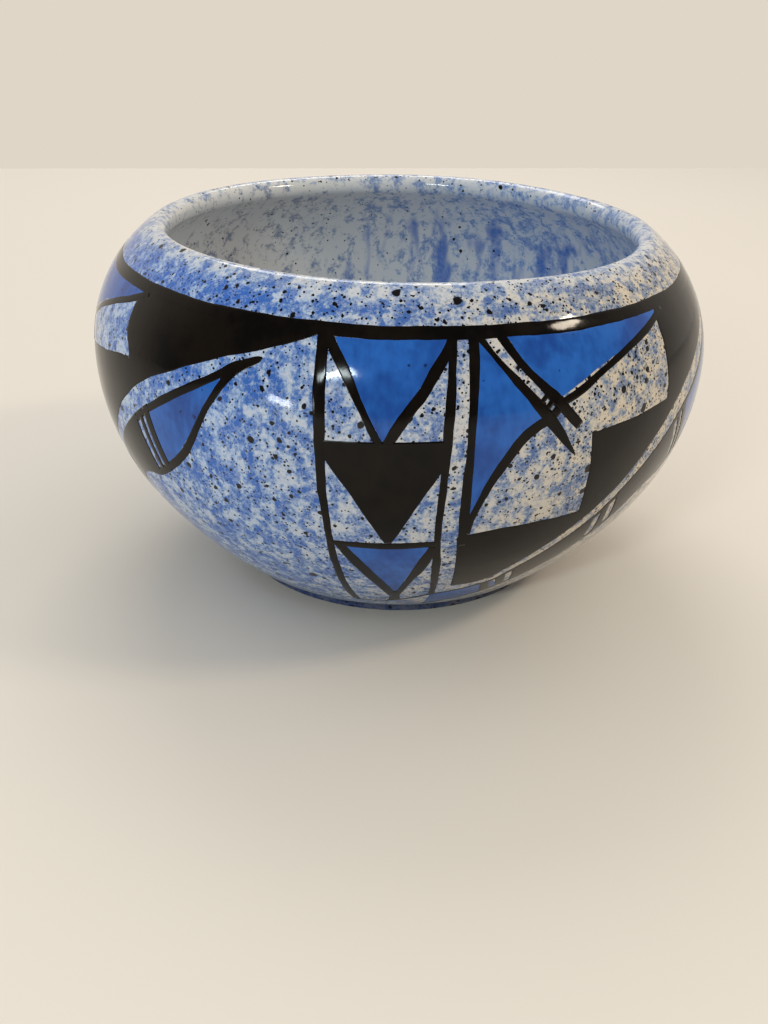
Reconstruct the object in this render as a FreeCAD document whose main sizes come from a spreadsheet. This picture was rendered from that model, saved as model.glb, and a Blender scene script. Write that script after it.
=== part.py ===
import FreeCAD, Part
import math
import os
import Sketcher

# A squat, wide-mouthed pottery bowl: a thick rounded lip, a full belly, a low coved foot,
# and geometric ornament painted in black and blue, three motifs to a round.
# Millimetres. The origin is the centre of the foot's resting ring, +Z is up, and the
# panel of the first motif faces -Y.

SIZES = (
    ("belly_radius", 65.0, "the widest part, from the axis"),
    ("belly_height", 50.0, "resting ring to the widest part"),
    ("shoulder_height", 24.7, "widest part to the crest of the lip"),
    ("crest_inset", 13.9, "how far the crest of the lip stands in from the widest part"),
    ("wall", 4.8, "thickness of the wall, twice the radius of the lip's round"),
    ("floor", 5.0, "thickness of the floor"),
    ("floor_curve", 20.0, "radius between the floor and the wall inside"),
    ("foot_radius", 35.2, "outside of the foot"),
    ("foot_depth", 2.3, "height of the foot"),
    ("foot_cove", 1.7, "hollow round between the foot and the wall"),
    ("foot_ring", 5.2, "width of the resting ring"),
    ("foot_recess", 1.8, "hollow under the floor"),
    ("recess_slope", 1.5, "run of the slope from the resting ring to the hollow"),
    ("paint", 0.25, "how far the painted layer stands out from the wall"),
    ("paint_clearance", 0.01, "hairline between the wall and the back of the painted layer"),
    ("paint_gap", 1.1, "bare wall between the foot and the lowest paint"),
    ("rim_line_drop", 7.4, "crest of the lip to the lower edge of the line under it"),
    ("rim_line_width", 2.4, "width of that line along the wall"),
    ("upright_width", 2.5, "brush width of the panel's left line"),
    ("side_width", 1.8, "brush width of the panel's right line"),
    ("crossbar_width", 1.3, "brush width of the panel's crossbar"),
    ("foot_line_width", 0.9, "brush width of the line above the foot"),
    ("thick_width", 2.6, "brush width of the upright beside the feather"),
    ("shaft_width", 2.1, "brush width of the feather's shafts"),
    ("shaft_tip_width", 0.5, "width at the tip of the long shaft"),
    ("edge_width", 1.5, "brush width of the feather's curved edges"),
    ("stripe_width", 1.0, "width of the bare stripes across the leaf"),
)

# The belly's arc is tighter than the one arc that would run from the widest part to the
# foot, and it gives way to the lower wall short of where it would graze the foot.
SHAPE_SHARES = (
    ("belly_curve_share", 0.88, "radius of the belly's arc, of that one arc's"),
    ("joint_share", 0.78, "turn of the belly's arc, of the turn where it would graze the foot"),
)

# Turn of each motif, as a share of a whole turn: spaced by eye, as the brush left them.
MOTIF_TURN_SHARES = (0.0, -0.2903, 0.3549)

# Every outline below is a list of (bearing, share): the bearing in degrees from the first
# motif's facing, positive to the right, and the height as a share of the rim line's.
# A field under the rim line is drawn a little past it, and the coat trims it there.
PAST_RIM_SHARE = 1.02

PANEL_FACING = -2.0
LEFT_UPRIGHT_SHARES = ((-12.3, PAST_RIM_SHARE), (-11.8, 0.45), (-11.7, 0.22), (-10.6, 0.105))
RIGHT_SIDE_SHARES = ((8.6, PAST_RIM_SHARE), (7.2, 0.74), (7.1, 0.45), (9.4, 0.17))
CROSSBAR_SHARES = ((-11.6, 0.436), (7.2, 0.44))
BLUE_TRIANGLE_SHARES = ((-10.6, PAST_RIM_SHARE), (6.9, PAST_RIM_SHARE), (-1.9, 0.785))
CHEVRON_SHARES = (
    (-11.8, PAST_RIM_SHARE), (8.4, PAST_RIM_SHARE), (8.4, 0.95),
    (-0.8, 0.758), (-3.8, 0.758), (-11.8, 0.975),
)
BLACK_TRIANGLE_SHARES = (
    (-11.6, 0.758), (7.2, 0.758), (7.2, 0.715),
    (-0.7, 0.438), (-1.5, 0.438), (-11.6, 0.735),
)
BLUE_PENDANT_SHARES = ((-8.4, 0.424), (5.6, 0.424), (0.3, 0.2))
PENDANT_SHARES = (
    (-10.6, 0.436), (7.1, 0.436), (1.4, 0.155),
    (0.8, 0.118), (-0.1, 0.118), (-0.7, 0.155),
)
FOOT_LINE_SHARES = ((-10.8, 0.108), (0.0, 0.122), (10.0, 0.158))

FEATHER_FACING = 50.0
THICK_UPRIGHT_SHARES = ((11.5, PAST_RIM_SHARE), (11.3, 0.74), (11.1, 0.6), (11.5, 0.45))
LONG_SHAFT_SHARES = ((13.7, PAST_RIM_SHARE), (19.3, 0.89), (23.4, 0.817), (28.5, 0.705))
SHORT_SHAFT_SHARES = ((17.7, PAST_RIM_SHARE), (22.2, 0.914), (25.9, 0.847), (29.2, 0.778))
UPPER_EDGE_SHARES = ((26.1, 0.856), (34.0, 0.922), (43.5, 0.974), (51.0, 1.006))
LOWER_EDGE_SHARES = ((11.6, 0.45), (13.5, 0.595), (18.3, 0.744), LONG_SHAFT_SHARES[2])
LONG_BLUE_SHARES = (
    (11.8, 0.47), (11.8, PAST_RIM_SHARE), *LONG_SHAFT_SHARES[:3],
    LOWER_EDGE_SHARES[2], LOWER_EDGE_SHARES[1],
)
UPPER_BLUE_SHARES = (*SHORT_SHAFT_SHARES[:3], *UPPER_EDGE_SHARES[1:], (50.5, PAST_RIM_SHARE))

WING_INNER_SHARES = (
    (10.8, 0.464), (32.6, 0.499), (31.6, 0.753), (50.2, 0.776), (51.6, PAST_RIM_SHARE),
)
WING_OUTER_SHARES = (
    (12.7, 0.235), (23.0, 0.27), (37.0, 0.47), (52.0, 0.722), (70.0, 0.878), (91.0, PAST_RIM_SHARE),
)

LEAF_UPPER_SHARES = (
    (4.0, 0.132), (20.0, 0.217), (36.0, 0.413), (52.0, 0.668), (68.0, 0.826), (82.0, 0.937),
)
LEAF_LOWER_SHARES = (
    (82.0, 0.937), (73.5, 0.76), (63.5, 0.553), (49.0, 0.45), (33.0, 0.17), (4.0, 0.075),
)
LEAF_TIP_BLUE_SHARES = ((74.2, 0.862), (58.8, 0.703), (62.2, 0.575))
LEAF_TIP_CURVE_SHARES = ((62.2, 0.575), (69.0, 0.675), (74.2, 0.862))
LEAF_FOOT_BLUE_SHARES = ((8.0, 0.135), (22.6, 0.212), (26.4, 0.135), (8.0, 0.087))
STRIPE_SHARES = (
    ((24.4, 0.235), (29.0, 0.135)),
    ((27.4, 0.268), (32.0, 0.165)),
    ((40.4, 0.46), (44.4, 0.36)),
    ((43.0, 0.505), (47.0, 0.405)),
    ((55.8, 0.68), (59.2, 0.55)),
    ((57.6, 0.7), (60.8, 0.565)),
)

doc = FreeCAD.newDocument("pottery_bowl")
sheet = doc.addObject("Spreadsheet::Sheet", "Sizes")
for row, (alias, value, meaning) in enumerate(SIZES + SHAPE_SHARES, start=1):
    sheet.set(f"A{row}", alias)
    sheet.set(f"B{row}", str(value))
    sheet.set(f"C{row}", meaning)
    sheet.setAlias(f"B{row}", alias)
doc.recompute()


def cell(alias):
    """The number in the sheet's cell of that name."""
    return float(getattr(sheet, alias))


class Arc:
    """A round stretch of the wall's outline: its centre, radius and end angles, low to high."""

    def __init__(self, x, y, radius, low, high):
        self.x = x
        self.y = y
        self.radius = radius
        self.low = low
        self.high = high

    def point(self, angle, offset=0.0):
        """The point at that angle, as radius from the bowl's axis and height."""
        reach = self.radius + offset
        return (self.x + reach * math.cos(angle), self.y + reach * math.sin(angle))

    def sketch_shape(self):
        centre = FreeCAD.Vector(self.x, self.y, 0)
        circle = Part.Circle(centre, FreeCAD.Vector(0, 0, 1), self.radius)
        return Part.ArcOfCircle(circle, self.low, self.high)


def outer_arcs():
    """The outside of the wall as four tangent arcs: lower wall, belly, shoulder and lip.

    The lower wall passes through the top of the foot's cove and runs on into the belly.
    The shoulder is tangent to the belly at its widest and to the lip's round.
    """
    run = cell("belly_radius") - cell("foot_radius") - cell("foot_cove")
    rise = cell("belly_height") - cell("foot_depth")
    curve = cell("belly_curve_share") * (run ** 2 + rise ** 2) / (2 * run)
    grazing = math.atan2(rise, curve - run) - math.acos(curve / math.hypot(curve - run, rise))
    belly = Arc(cell("belly_radius") - curve, cell("belly_height"), curve, 0, 0)
    belly.low = -cell("joint_share") * grazing
    joint = belly.point(belly.low)
    across = cell("foot_radius") + cell("foot_cove") - joint[0]
    down = cell("foot_depth") - joint[1]
    inward = (-math.cos(belly.low), -math.sin(belly.low))
    reach = (across ** 2 + down ** 2) / (2 * (across * inward[0] + down * inward[1]))
    lower = Arc(joint[0] + reach * inward[0], joint[1] + reach * inward[1], reach, 0, belly.low)
    lower.low = math.asin((cell("foot_depth") - lower.y) / reach)

    roll = cell("wall") / 2
    inset = cell("crest_inset")
    climb = cell("shoulder_height") - roll
    bend = (inset ** 2 + climb ** 2 - roll ** 2) / (2 * (inset - roll))
    turn = math.atan2(climb, bend - inset)
    shoulder = Arc(cell("belly_radius") - bend, cell("belly_height"), bend, 0, turn)
    lip = Arc(cell("belly_radius") - inset, cell("belly_height") + climb, roll, turn, turn + math.pi)
    return lower, belly, shoulder, lip


def inner_arcs(lower, belly, shoulder):
    """The inside of the wall: the outside moved in by the wall, and a round into the floor."""
    wall = cell("wall")
    bend = cell("floor_curve")
    floor_top = cell("foot_recess") + cell("floor")
    reach = lower.radius - wall - bend
    drop = floor_top + bend - lower.y
    corner_x = lower.x + math.sqrt(reach ** 2 - drop ** 2)
    corner_angle = math.atan2(drop, corner_x - lower.x)
    inner_shoulder = Arc(shoulder.x, shoulder.y, shoulder.radius - wall, 0, shoulder.high)
    inner_belly = Arc(belly.x, belly.y, belly.radius - wall, belly.low, 0)
    inner_lower = Arc(lower.x, lower.y, lower.radius - wall, corner_angle, lower.high)
    corner = Arc(corner_x, floor_top + bend, bend, -math.pi / 2, corner_angle)
    return inner_shoulder, inner_belly, inner_lower, corner


def new_sketch(body, name):
    """A sketch on the body's own upright plane: radius to the right, height up."""
    sketch = body.newObject("Sketcher::SketchObject", name)
    plane = [item for item in body.Origin.OriginFeatures if item.Role == "XZ_Plane"][0]
    sketch.AttachmentSupport = [(plane, "")]
    sketch.MapMode = "FlatFace"
    return sketch


def hold(sketch, kind, *where):
    """A relation between two pieces of the sketch."""
    sketch.addConstraint(Sketcher.Constraint(kind, *where))


def drive(sketch, name, kind, where, value=None, formula=None):
    """A dimension of the sketch: the sheet's cell of the same name, or a value and its formula."""
    start = cell(name) if value is None else value
    index = sketch.addConstraint(Sketcher.Constraint(kind, *where, start))
    sketch.renameConstraint(index, name)
    sketch.setExpression("Constraints." + name, formula or "Sizes." + name)


def spin(body, sketch, name):
    """The sketch turned once round the bowl's axis."""
    turned = body.newObject("PartDesign::Revolution", name)
    turned.Profile = sketch
    turned.ReferenceAxis = (sketch, ["V_Axis"])
    turned.Angle = 360
    sketch.Visibility = False
    body.Tip = turned
    return turned


def line(start, end):
    return Part.LineSegment(FreeCAD.Vector(*start, 0), FreeCAD.Vector(*end, 0))


START, END, CENTRE = range(1, 4)
H_AXIS = -START
V_AXIS = -END


def make_bowl_body():
    """Fired clay with its fused speckled glaze: wall, lip, floor and foot in one."""
    body = doc.addObject("PartDesign::Body", "bowl_body")
    body.Label = "bowl_body"
    sketch = new_sketch(body, "bowl_profile")
    lower, belly, shoulder, lip = outer_arcs()
    inner_shoulder, inner_belly, inner_lower, corner = inner_arcs(lower, belly, shoulder)
    foot_radius = cell("foot_radius")
    foot_inner = foot_radius - cell("foot_ring")
    cove = cell("foot_cove")
    edge = cell("foot_depth") - cove
    recess = cell("foot_recess")
    slope_end = foot_inner - cell("recess_slope")
    floor_top = corner.point(corner.low)

    under = sketch.addGeometry(line((0, recess), (slope_end, recess)))
    slope = sketch.addGeometry(line((slope_end, recess), (foot_inner, 0)))
    rest = sketch.addGeometry(line((foot_inner, 0), (foot_radius, 0)))
    side = sketch.addGeometry(line((foot_radius, 0), (foot_radius, edge)))
    hollow_arc = Arc(foot_radius + cove, edge, cove, math.pi / 2, math.pi)
    hollow = sketch.addGeometry(hollow_arc.sketch_shape())
    lower_out = sketch.addGeometry(lower.sketch_shape())
    belly_out = sketch.addGeometry(belly.sketch_shape())
    shoulder_out = sketch.addGeometry(shoulder.sketch_shape())
    lip_round = sketch.addGeometry(lip.sketch_shape())
    shoulder_in = sketch.addGeometry(inner_shoulder.sketch_shape())
    belly_in = sketch.addGeometry(inner_belly.sketch_shape())
    lower_in = sketch.addGeometry(inner_lower.sketch_shape())
    corner_in = sketch.addGeometry(corner.sketch_shape())
    floor_line = sketch.addGeometry(line(floor_top, (0, floor_top[1])))
    axis = sketch.addGeometry(line((0, floor_top[1]), (0, recess)))

    hold(sketch, "Coincident", under, END, slope, START)
    hold(sketch, "Coincident", slope, END, rest, START)
    hold(sketch, "Coincident", rest, END, side, START)
    hold(sketch, "Coincident", side, END, hollow, END)
    hold(sketch, "Coincident", hollow, START, lower_out, START)
    hold(sketch, "Tangent", lower_out, END, belly_out, START)
    hold(sketch, "Tangent", belly_out, END, shoulder_out, START)
    hold(sketch, "Tangent", shoulder_out, END, lip_round, START)
    hold(sketch, "Tangent", lip_round, END, shoulder_in, END)
    hold(sketch, "Tangent", shoulder_in, START, belly_in, END)
    hold(sketch, "Tangent", belly_in, START, lower_in, END)
    hold(sketch, "Tangent", lower_in, START, corner_in, END)
    hold(sketch, "Tangent", corner_in, START, floor_line, START)
    hold(sketch, "Coincident", floor_line, END, axis, START)
    hold(sketch, "Coincident", axis, END, under, START)
    hold(sketch, "Horizontal", under)
    hold(sketch, "Vertical", side)
    hold(sketch, "Horizontal", floor_line)
    hold(sketch, "PointOnObject", rest, START, H_AXIS)
    hold(sketch, "PointOnObject", rest, END, H_AXIS)
    hold(sketch, "PointOnObject", under, START, V_AXIS)
    hold(sketch, "PointOnObject", floor_line, END, V_AXIS)
    hold(sketch, "Horizontal", hollow, END, hollow, CENTRE)
    hold(sketch, "Vertical", hollow, START, hollow, CENTRE)
    hold(sketch, "Horizontal", belly_out, END, belly_out, CENTRE)
    hold(sketch, "Coincident", shoulder_in, CENTRE, shoulder_out, CENTRE)
    hold(sketch, "Coincident", belly_in, CENTRE, belly_out, CENTRE)
    hold(sketch, "Coincident", lower_in, CENTRE, lower_out, CENTRE)

    run = "(Sizes.belly_radius - Sizes.foot_radius - Sizes.foot_cove)"
    rise = "(Sizes.belly_height - Sizes.foot_depth)"
    curve = f"(Sizes.belly_curve_share * ({run} ^ 2 + {rise} ^ 2) / (2 * {run}))"
    far = f"sqrt(({curve} - {run}) ^ 2 + {rise} ^ 2)"
    grazing = f"(atan2({rise}; {curve} - {run}) - acos({curve} / {far}))"
    joint_height = f"Sizes.belly_height - {curve} * sin(Sizes.joint_share * {grazing})"
    climb = "Sizes.shoulder_height - Sizes.wall / 2"
    top = "Sizes.foot_recess + Sizes.floor"
    origin = (H_AXIS, START)
    drive(sketch, "foot_radius", "DistanceX", (*origin, rest, END))
    drive(sketch, "foot_ring", "DistanceX", (rest, START, rest, END))
    drive(sketch, "recess_slope", "DistanceX", (slope, START, slope, END))
    drive(sketch, "foot_recess", "DistanceY", (*origin, under, START))
    drive(sketch, "foot_cove", "Radius", (hollow,))
    drive(sketch, "foot_depth", "DistanceY", (*origin, hollow, START))
    drive(sketch, "belly_radius", "DistanceX", (*origin, belly_out, END))
    drive(sketch, "belly_height", "DistanceY", (*origin, belly_out, END))
    drive(sketch, "crest_inset", "DistanceX", (lip_round, CENTRE, belly_out, END))
    drive(sketch, "floor_curve", "Radius", (corner_in,))
    drive(sketch, "belly_curve", "Radius", (belly_out,), belly.radius, curve)
    joint = belly.point(belly.low)[1]
    drive(sketch, "joint_height", "DistanceY", (*origin, belly_out, START), joint, joint_height)
    drive(sketch, "lip_round", "Radius", (lip_round,), lip.radius, "Sizes.wall / 2")
    drive(sketch, "crest_climb", "DistanceY", (belly_out, END, lip_round, CENTRE), lip.y - belly.y, climb)
    drive(sketch, "floor_height", "DistanceY", (*origin, floor_line, END), floor_top[1], top)
    spin(body, sketch, "bowl_turned")
    return body


def make_rim_line():
    """The painted line that runs all round the shoulder, under the lip."""
    body = doc.addObject("PartDesign::Body", "rim_line")
    body.Label = "rim_line"
    sketch = new_sketch(body, "rim_line_profile")
    shoulder = outer_arcs()[2]
    low, high = rim_line_angles(shoulder)
    clear = cell("paint_clearance")
    paint = cell("paint")
    back = Arc(shoulder.x, shoulder.y, shoulder.radius + clear, low, high)
    front = Arc(shoulder.x, shoulder.y, shoulder.radius + paint, low, high)
    inside = sketch.addGeometry(back.sketch_shape())
    outside = sketch.addGeometry(front.sketch_shape())
    foot = sketch.addGeometry(line(back.point(low), front.point(low)))
    head = sketch.addGeometry(line(front.point(high), back.point(high)))
    hold(sketch, "Coincident", foot, START, inside, START)
    hold(sketch, "Coincident", foot, END, outside, START)
    hold(sketch, "Coincident", head, START, outside, END)
    hold(sketch, "Coincident", head, END, inside, END)
    hold(sketch, "Coincident", inside, CENTRE, outside, CENTRE)
    hold(sketch, "PointOnObject", outside, CENTRE, foot)
    hold(sketch, "PointOnObject", outside, CENTRE, head)
    climb = "(Sizes.shoulder_height - Sizes.wall / 2)"
    spread = f"(Sizes.crest_inset ^ 2 + {climb} ^ 2 - (Sizes.wall / 2) ^ 2)"
    bend = f"({spread} / (2 * (Sizes.crest_inset - Sizes.wall / 2)))"
    line_rise = "(Sizes.shoulder_height - Sizes.rim_line_drop)"
    turn = f"(asin({line_rise} / {bend}) + Sizes.rim_line_width * 1 rad / {bend})"
    reach = f"({bend} + Sizes.paint_clearance)"
    foot_height = f"Sizes.belly_height + {reach} * {line_rise} / {bend}"
    head_height = f"Sizes.belly_height + {reach} * sin({turn})"
    origin = (H_AXIS, START)
    centre_reach = f"Sizes.belly_radius - {bend}"
    drive(sketch, "centre_reach", "DistanceX", (*origin, inside, CENTRE), shoulder.x, centre_reach)
    drive(sketch, "belly_height", "DistanceY", (*origin, inside, CENTRE))
    drive(sketch, "back_bend", "Radius", (inside,), back.radius, reach)
    drive(sketch, "front_bend", "Radius", (outside,), front.radius, f"{bend} + Sizes.paint")
    drive(sketch, "foot_height", "DistanceY", (*origin, inside, START), back.point(low)[1], foot_height)
    drive(sketch, "head_height", "DistanceY", (*origin, inside, END), back.point(high)[1], head_height)
    spin(body, sketch, "rim_line_turned")
    return body


def rim_line_angles(shoulder):
    """Where the rim line starts and ends on the shoulder's arc."""
    low = math.asin((rim_line_height() - shoulder.y) / shoulder.radius)
    return low, low + cell("rim_line_width") / shoulder.radius


def rim_line_height():
    """The rim line's lower edge above the resting ring."""
    return cell("belly_height") + cell("shoulder_height") - cell("rim_line_drop")


def wall_radius(height):
    """The outside of the bowl at that height, from the axis."""
    lower, belly, shoulder = outer_arcs()[:3]
    if height < belly.point(belly.low)[1]:
        arc = lower
    elif height < belly.y:
        arc = belly
    else:
        arc = shoulder
    return arc.x + math.sqrt(arc.radius ** 2 - (height - arc.y) ** 2)


def edge_arc(arc, low, high, offset):
    """An arc of the outline as an edge in the upright plane."""
    points = [arc.point(angle, offset) for angle in (low, (low + high) / 2, high)]
    return Part.Arc(*[FreeCAD.Vector(reach, 0, height) for reach, height in points]).toShape()


def make_coat():
    """The layer that the painter can reach: the wall from above the foot to the rim line.

    It lies a hairline off the wall. Every painted field is cut from it.
    """
    lower, belly, shoulder = outer_arcs()[:3]
    bottom = math.asin((cell("foot_depth") + cell("paint_gap") - lower.y) / lower.radius)
    top = rim_line_angles(shoulder)[0]
    spans = ((lower, bottom, lower.high), (belly, belly.low, 0), (shoulder, 0, top))
    offsets = (cell("paint_clearance"), cell("paint"))
    edges = []
    for offset in offsets:
        edges += [edge_arc(arc, low, high, offset) for arc, low, high in spans]
    for arc, angle in ((lower, bottom), (shoulder, top)):
        ends = [arc.point(angle, offset) for offset in offsets]
        edges.append(Part.makeLine(*[FreeCAD.Vector(reach, 0, height) for reach, height in ends]))
    outline = Part.Wire(Part.__sortEdges__(edges))
    return Part.Face(outline).revolve(FreeCAD.Vector(0, 0, 0), FreeCAD.Vector(0, 0, 1), 360)


def stencil_points(shares, facing):
    """Places on the wall as they are seen square on from the facing: (bearing, height share)."""
    points = []
    for bearing, share in shares:
        height = share * rim_line_height()
        reach = wall_radius(height)
        points.append(FreeCAD.Vector(reach * math.sin(math.radians(bearing - facing)), 0, height))
    return points


def chain(points, smooth):
    """Edges through the points: straight runs, or one smooth curve."""
    if smooth and len(points) > 2:
        curve = Part.BSplineCurve()
        curve.interpolate(points)
        return [curve.toShape()]
    return [Part.makeLine(first, second) for first, second in zip(points, points[1:])]


def outline_face(*sides):
    """A flat field inside sides that meet end to end, each its points and whether it is smooth."""
    edges = []
    for points, smooth in sides:
        edges += chain(points, smooth)
    return Part.Face(Part.Wire(edges))


def polygon_face(shares, facing):
    points = stencil_points(shares, facing)
    return outline_face((points + points[:1], False))


def stroke_face(shares, facing, start_width, end_width, smooth=False):
    """A brush stroke along a line of places: both edges lie half a width off the line."""
    points = stencil_points(shares, facing)
    lengths = [0.0]
    for first, second in zip(points, points[1:]):
        lengths.append(lengths[-1] + first.distanceToPoint(second))
    left = []
    right = []
    for index, point in enumerate(points):
        run = points[min(index + 1, len(points) - 1)] - points[max(index - 1, 0)]
        across = FreeCAD.Vector(-run.z, 0, run.x).normalize()
        width = start_width + (end_width - start_width) * lengths[index] / lengths[-1]
        half = across * width / 2
        left.append(point + half)
        right.append(point - half)
    right.reverse()
    far_end = ([left[-1], right[0]], False)
    near_end = ([right[-1], left[0]], False)
    return outline_face((left, smooth), far_end, (right, smooth), near_end)


def join(faces):
    return faces[0].multiFuse(faces[1:]).removeSplitter() if len(faces) > 1 else faces[0]


def panel_fields():
    """The framed column: black lines, a black triangle, and two blue triangles in black chevrons."""
    facing = PANEL_FACING
    upright = stroke_face(LEFT_UPRIGHT_SHARES, facing, cell("upright_width"), cell("side_width"))
    side = stroke_face(RIGHT_SIDE_SHARES, facing, cell("side_width"), cell("side_width"))
    crossbar = stroke_face(CROSSBAR_SHARES, facing, cell("crossbar_width"), cell("crossbar_width"))
    frame = join([upright, side, crossbar])
    foot = stroke_face(FOOT_LINE_SHARES, facing, cell("foot_line_width"), cell("foot_line_width"))
    foot = foot.cut(frame)
    triangle = polygon_face(BLACK_TRIANGLE_SHARES, facing).cut(frame)
    blue_triangle = polygon_face(BLUE_TRIANGLE_SHARES, facing)
    blue_pendant = polygon_face(BLUE_PENDANT_SHARES, facing)
    chevron = polygon_face(CHEVRON_SHARES, facing).cut([frame, blue_triangle])
    pendant = polygon_face(PENDANT_SHARES, facing).cut([frame, blue_pendant, foot])
    return {
        "panel_frame_lines": frame,
        "panel_chevron": chevron,
        "panel_pendant_outline": pendant,
        "panel_black_triangle": triangle,
        "foot_line": foot,
        "panel_blue_triangle": blue_triangle,
        "panel_blue_pendant": blue_pendant.cut(frame),
    }


def feather_fields():
    """Beside the panel: the crossed feather, the stepped wing and the long leaf under it."""
    facing = FEATHER_FACING
    thick = stroke_face(THICK_UPRIGHT_SHARES, facing, cell("thick_width"), cell("shaft_width"))
    inner = stencil_points(WING_INNER_SHARES, facing)
    outer = stencil_points(WING_OUTER_SHARES, facing)
    top = ([inner[-1], outer[-1]], False)
    side = ([outer[0], inner[0]], False)
    wing = outline_face((inner, False), top, (outer[::-1], True), side).cut(thick)
    shafts = join([
        stroke_face(LONG_SHAFT_SHARES, facing, cell("shaft_width"), cell("shaft_tip_width"), True),
        stroke_face(SHORT_SHAFT_SHARES, facing, cell("shaft_width"), cell("edge_width"), True),
    ]).cut(thick)
    edges = join([
        stroke_face(UPPER_EDGE_SHARES, facing, cell("edge_width"), cell("edge_width"), True),
        stroke_face(LOWER_EDGE_SHARES, facing, cell("edge_width"), cell("edge_width"), True),
    ]).cut([thick, shafts, wing])
    black = [thick, wing, shafts, edges]
    blue = [polygon_face(shares, facing).cut(black) for shares in (LONG_BLUE_SHARES, UPPER_BLUE_SHARES)]

    upper = stencil_points(LEAF_UPPER_SHARES, facing)
    under = stencil_points(LEAF_LOWER_SHARES, facing)
    leaf = outline_face((upper, True), (under, True), ([under[-1], upper[0]], False))
    tip = stencil_points(LEAF_TIP_BLUE_SHARES, facing)
    bow = stencil_points(LEAF_TIP_CURVE_SHARES, facing)
    leaf_blue = [outline_face((tip, False), (bow, True)), polygon_face(LEAF_FOOT_BLUE_SHARES, facing)]
    width = cell("stripe_width")
    stripes = [stroke_face(ends, facing, width, width) for ends in STRIPE_SHARES]
    leaf = leaf.cut(leaf_blue + stripes)
    return {
        "feather_upright": thick,
        "stepped_wing": wing,
        "feather_shafts": shafts,
        "feather_edges": edges,
        "feather_blue_fields": Part.Compound(blue),
        "leaf_band": leaf,
        "leaf_blue_fields": Part.Compound(leaf_blue),
    }


def paint_on(name, field, facing, coat):
    """The flat field carried out to the wall, trimmed to the coat, and laid at each motif."""
    reach = FreeCAD.Vector(0, -(cell("belly_radius") + cell("wall")), 0)
    axis = FreeCAD.Vector(0, 0, 1)
    centre = FreeCAD.Vector(0, 0, 0)
    prism = field.extrude(reach)
    prism.rotate(centre, axis, facing)
    patch = prism.common(coat)
    solids = []
    for share in MOTIF_TURN_SHARES:
        for solid in patch.Solids:
            copy = solid.copy()
            copy.rotate(centre, axis, share * 360)
            solids.append(copy)
    painted = doc.addObject("Part::Feature", name)
    painted.Label = name
    painted.Shape = Part.Compound(solids)
    painted.Placement = FreeCAD.Placement()
    return painted


nodes = [make_bowl_body(), make_rim_line()]
coat = make_coat()
for facing, fields in ((PANEL_FACING, panel_fields()), (FEATHER_FACING, feather_fields())):
    for name, field in fields.items():
        nodes.append(paint_on(name, field, facing, coat))
doc.recompute()

for item in doc.Objects:
    if "Invalid" in item.State or "Error" in item.State:
        raise RuntimeError(item.Label + " did not build: " + ", ".join(item.State))
for node in nodes:
    if node.Shape.isNull() or not node.Shape.isValid() or not node.Shape.Solids:
        raise RuntimeError(node.Label + " has no valid solid")

os.makedirs("parts", exist_ok=True)
for node in nodes:
    node.Shape.exportStep("parts/" + node.Label + ".step")
    print(node.Label, len(node.Shape.Solids), "solids,", round(node.Shape.Volume, 1), "mm3")
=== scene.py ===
"""Looks of a squat pottery bowl: speckled blue glaze with black and cobalt brushwork.

Metres. The bowl stands on the floor at the origin, +Z is up, and the first painted panel
faces -Y. A place on the outside of the wall is (bearing, height): the bearing in degrees
from the front, positive to the right, and the height above the floor.
"""

import math

import bpy
import numpy as np
from bpy.props import FloatProperty, FloatVectorProperty, IntProperty, PointerProperty
from mathutils import Matrix, Vector


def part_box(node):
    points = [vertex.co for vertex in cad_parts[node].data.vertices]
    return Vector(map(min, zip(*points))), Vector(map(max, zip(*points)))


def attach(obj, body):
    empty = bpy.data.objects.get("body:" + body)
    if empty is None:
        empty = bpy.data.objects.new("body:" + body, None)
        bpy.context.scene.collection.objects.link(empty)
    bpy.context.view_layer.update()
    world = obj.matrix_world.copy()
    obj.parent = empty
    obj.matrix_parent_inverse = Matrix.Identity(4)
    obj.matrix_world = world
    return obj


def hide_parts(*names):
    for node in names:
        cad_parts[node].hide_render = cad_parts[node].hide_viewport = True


bl_info = {
    "name": "Painted Pottery Bowl",
    "version": (1, 0, 0),
    "blender": (4, 5, 0),
    "location": "3D View > Sidebar > Pottery",
    "description": "Glaze, brushwork and stage of a painted pottery bowl",
    "category": "Object",
}

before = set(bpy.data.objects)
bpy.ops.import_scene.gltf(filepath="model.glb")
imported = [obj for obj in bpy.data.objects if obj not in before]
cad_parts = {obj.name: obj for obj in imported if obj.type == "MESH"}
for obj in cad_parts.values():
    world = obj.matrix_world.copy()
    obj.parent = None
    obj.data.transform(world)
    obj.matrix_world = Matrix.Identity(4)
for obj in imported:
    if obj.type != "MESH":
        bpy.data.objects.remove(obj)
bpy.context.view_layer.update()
_, BOWL_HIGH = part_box("bowl_body")
LINE_LOW, LINE_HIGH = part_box("rim_line")

MM = 0.001

# Each motif's bearing from the first one's: spaced by eye, as the brush left them.
MOTIF_BEARINGS = (0.0, -104.5, 127.8)

# Brushwork, in motif bearings (degrees), heights and widths (millimetres). A stroke is a
# line of (bearing, height, width). A field is a chain of facing sides, each side a line of
# (bearing, height), and each pair begins where the one before it ends.

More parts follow.
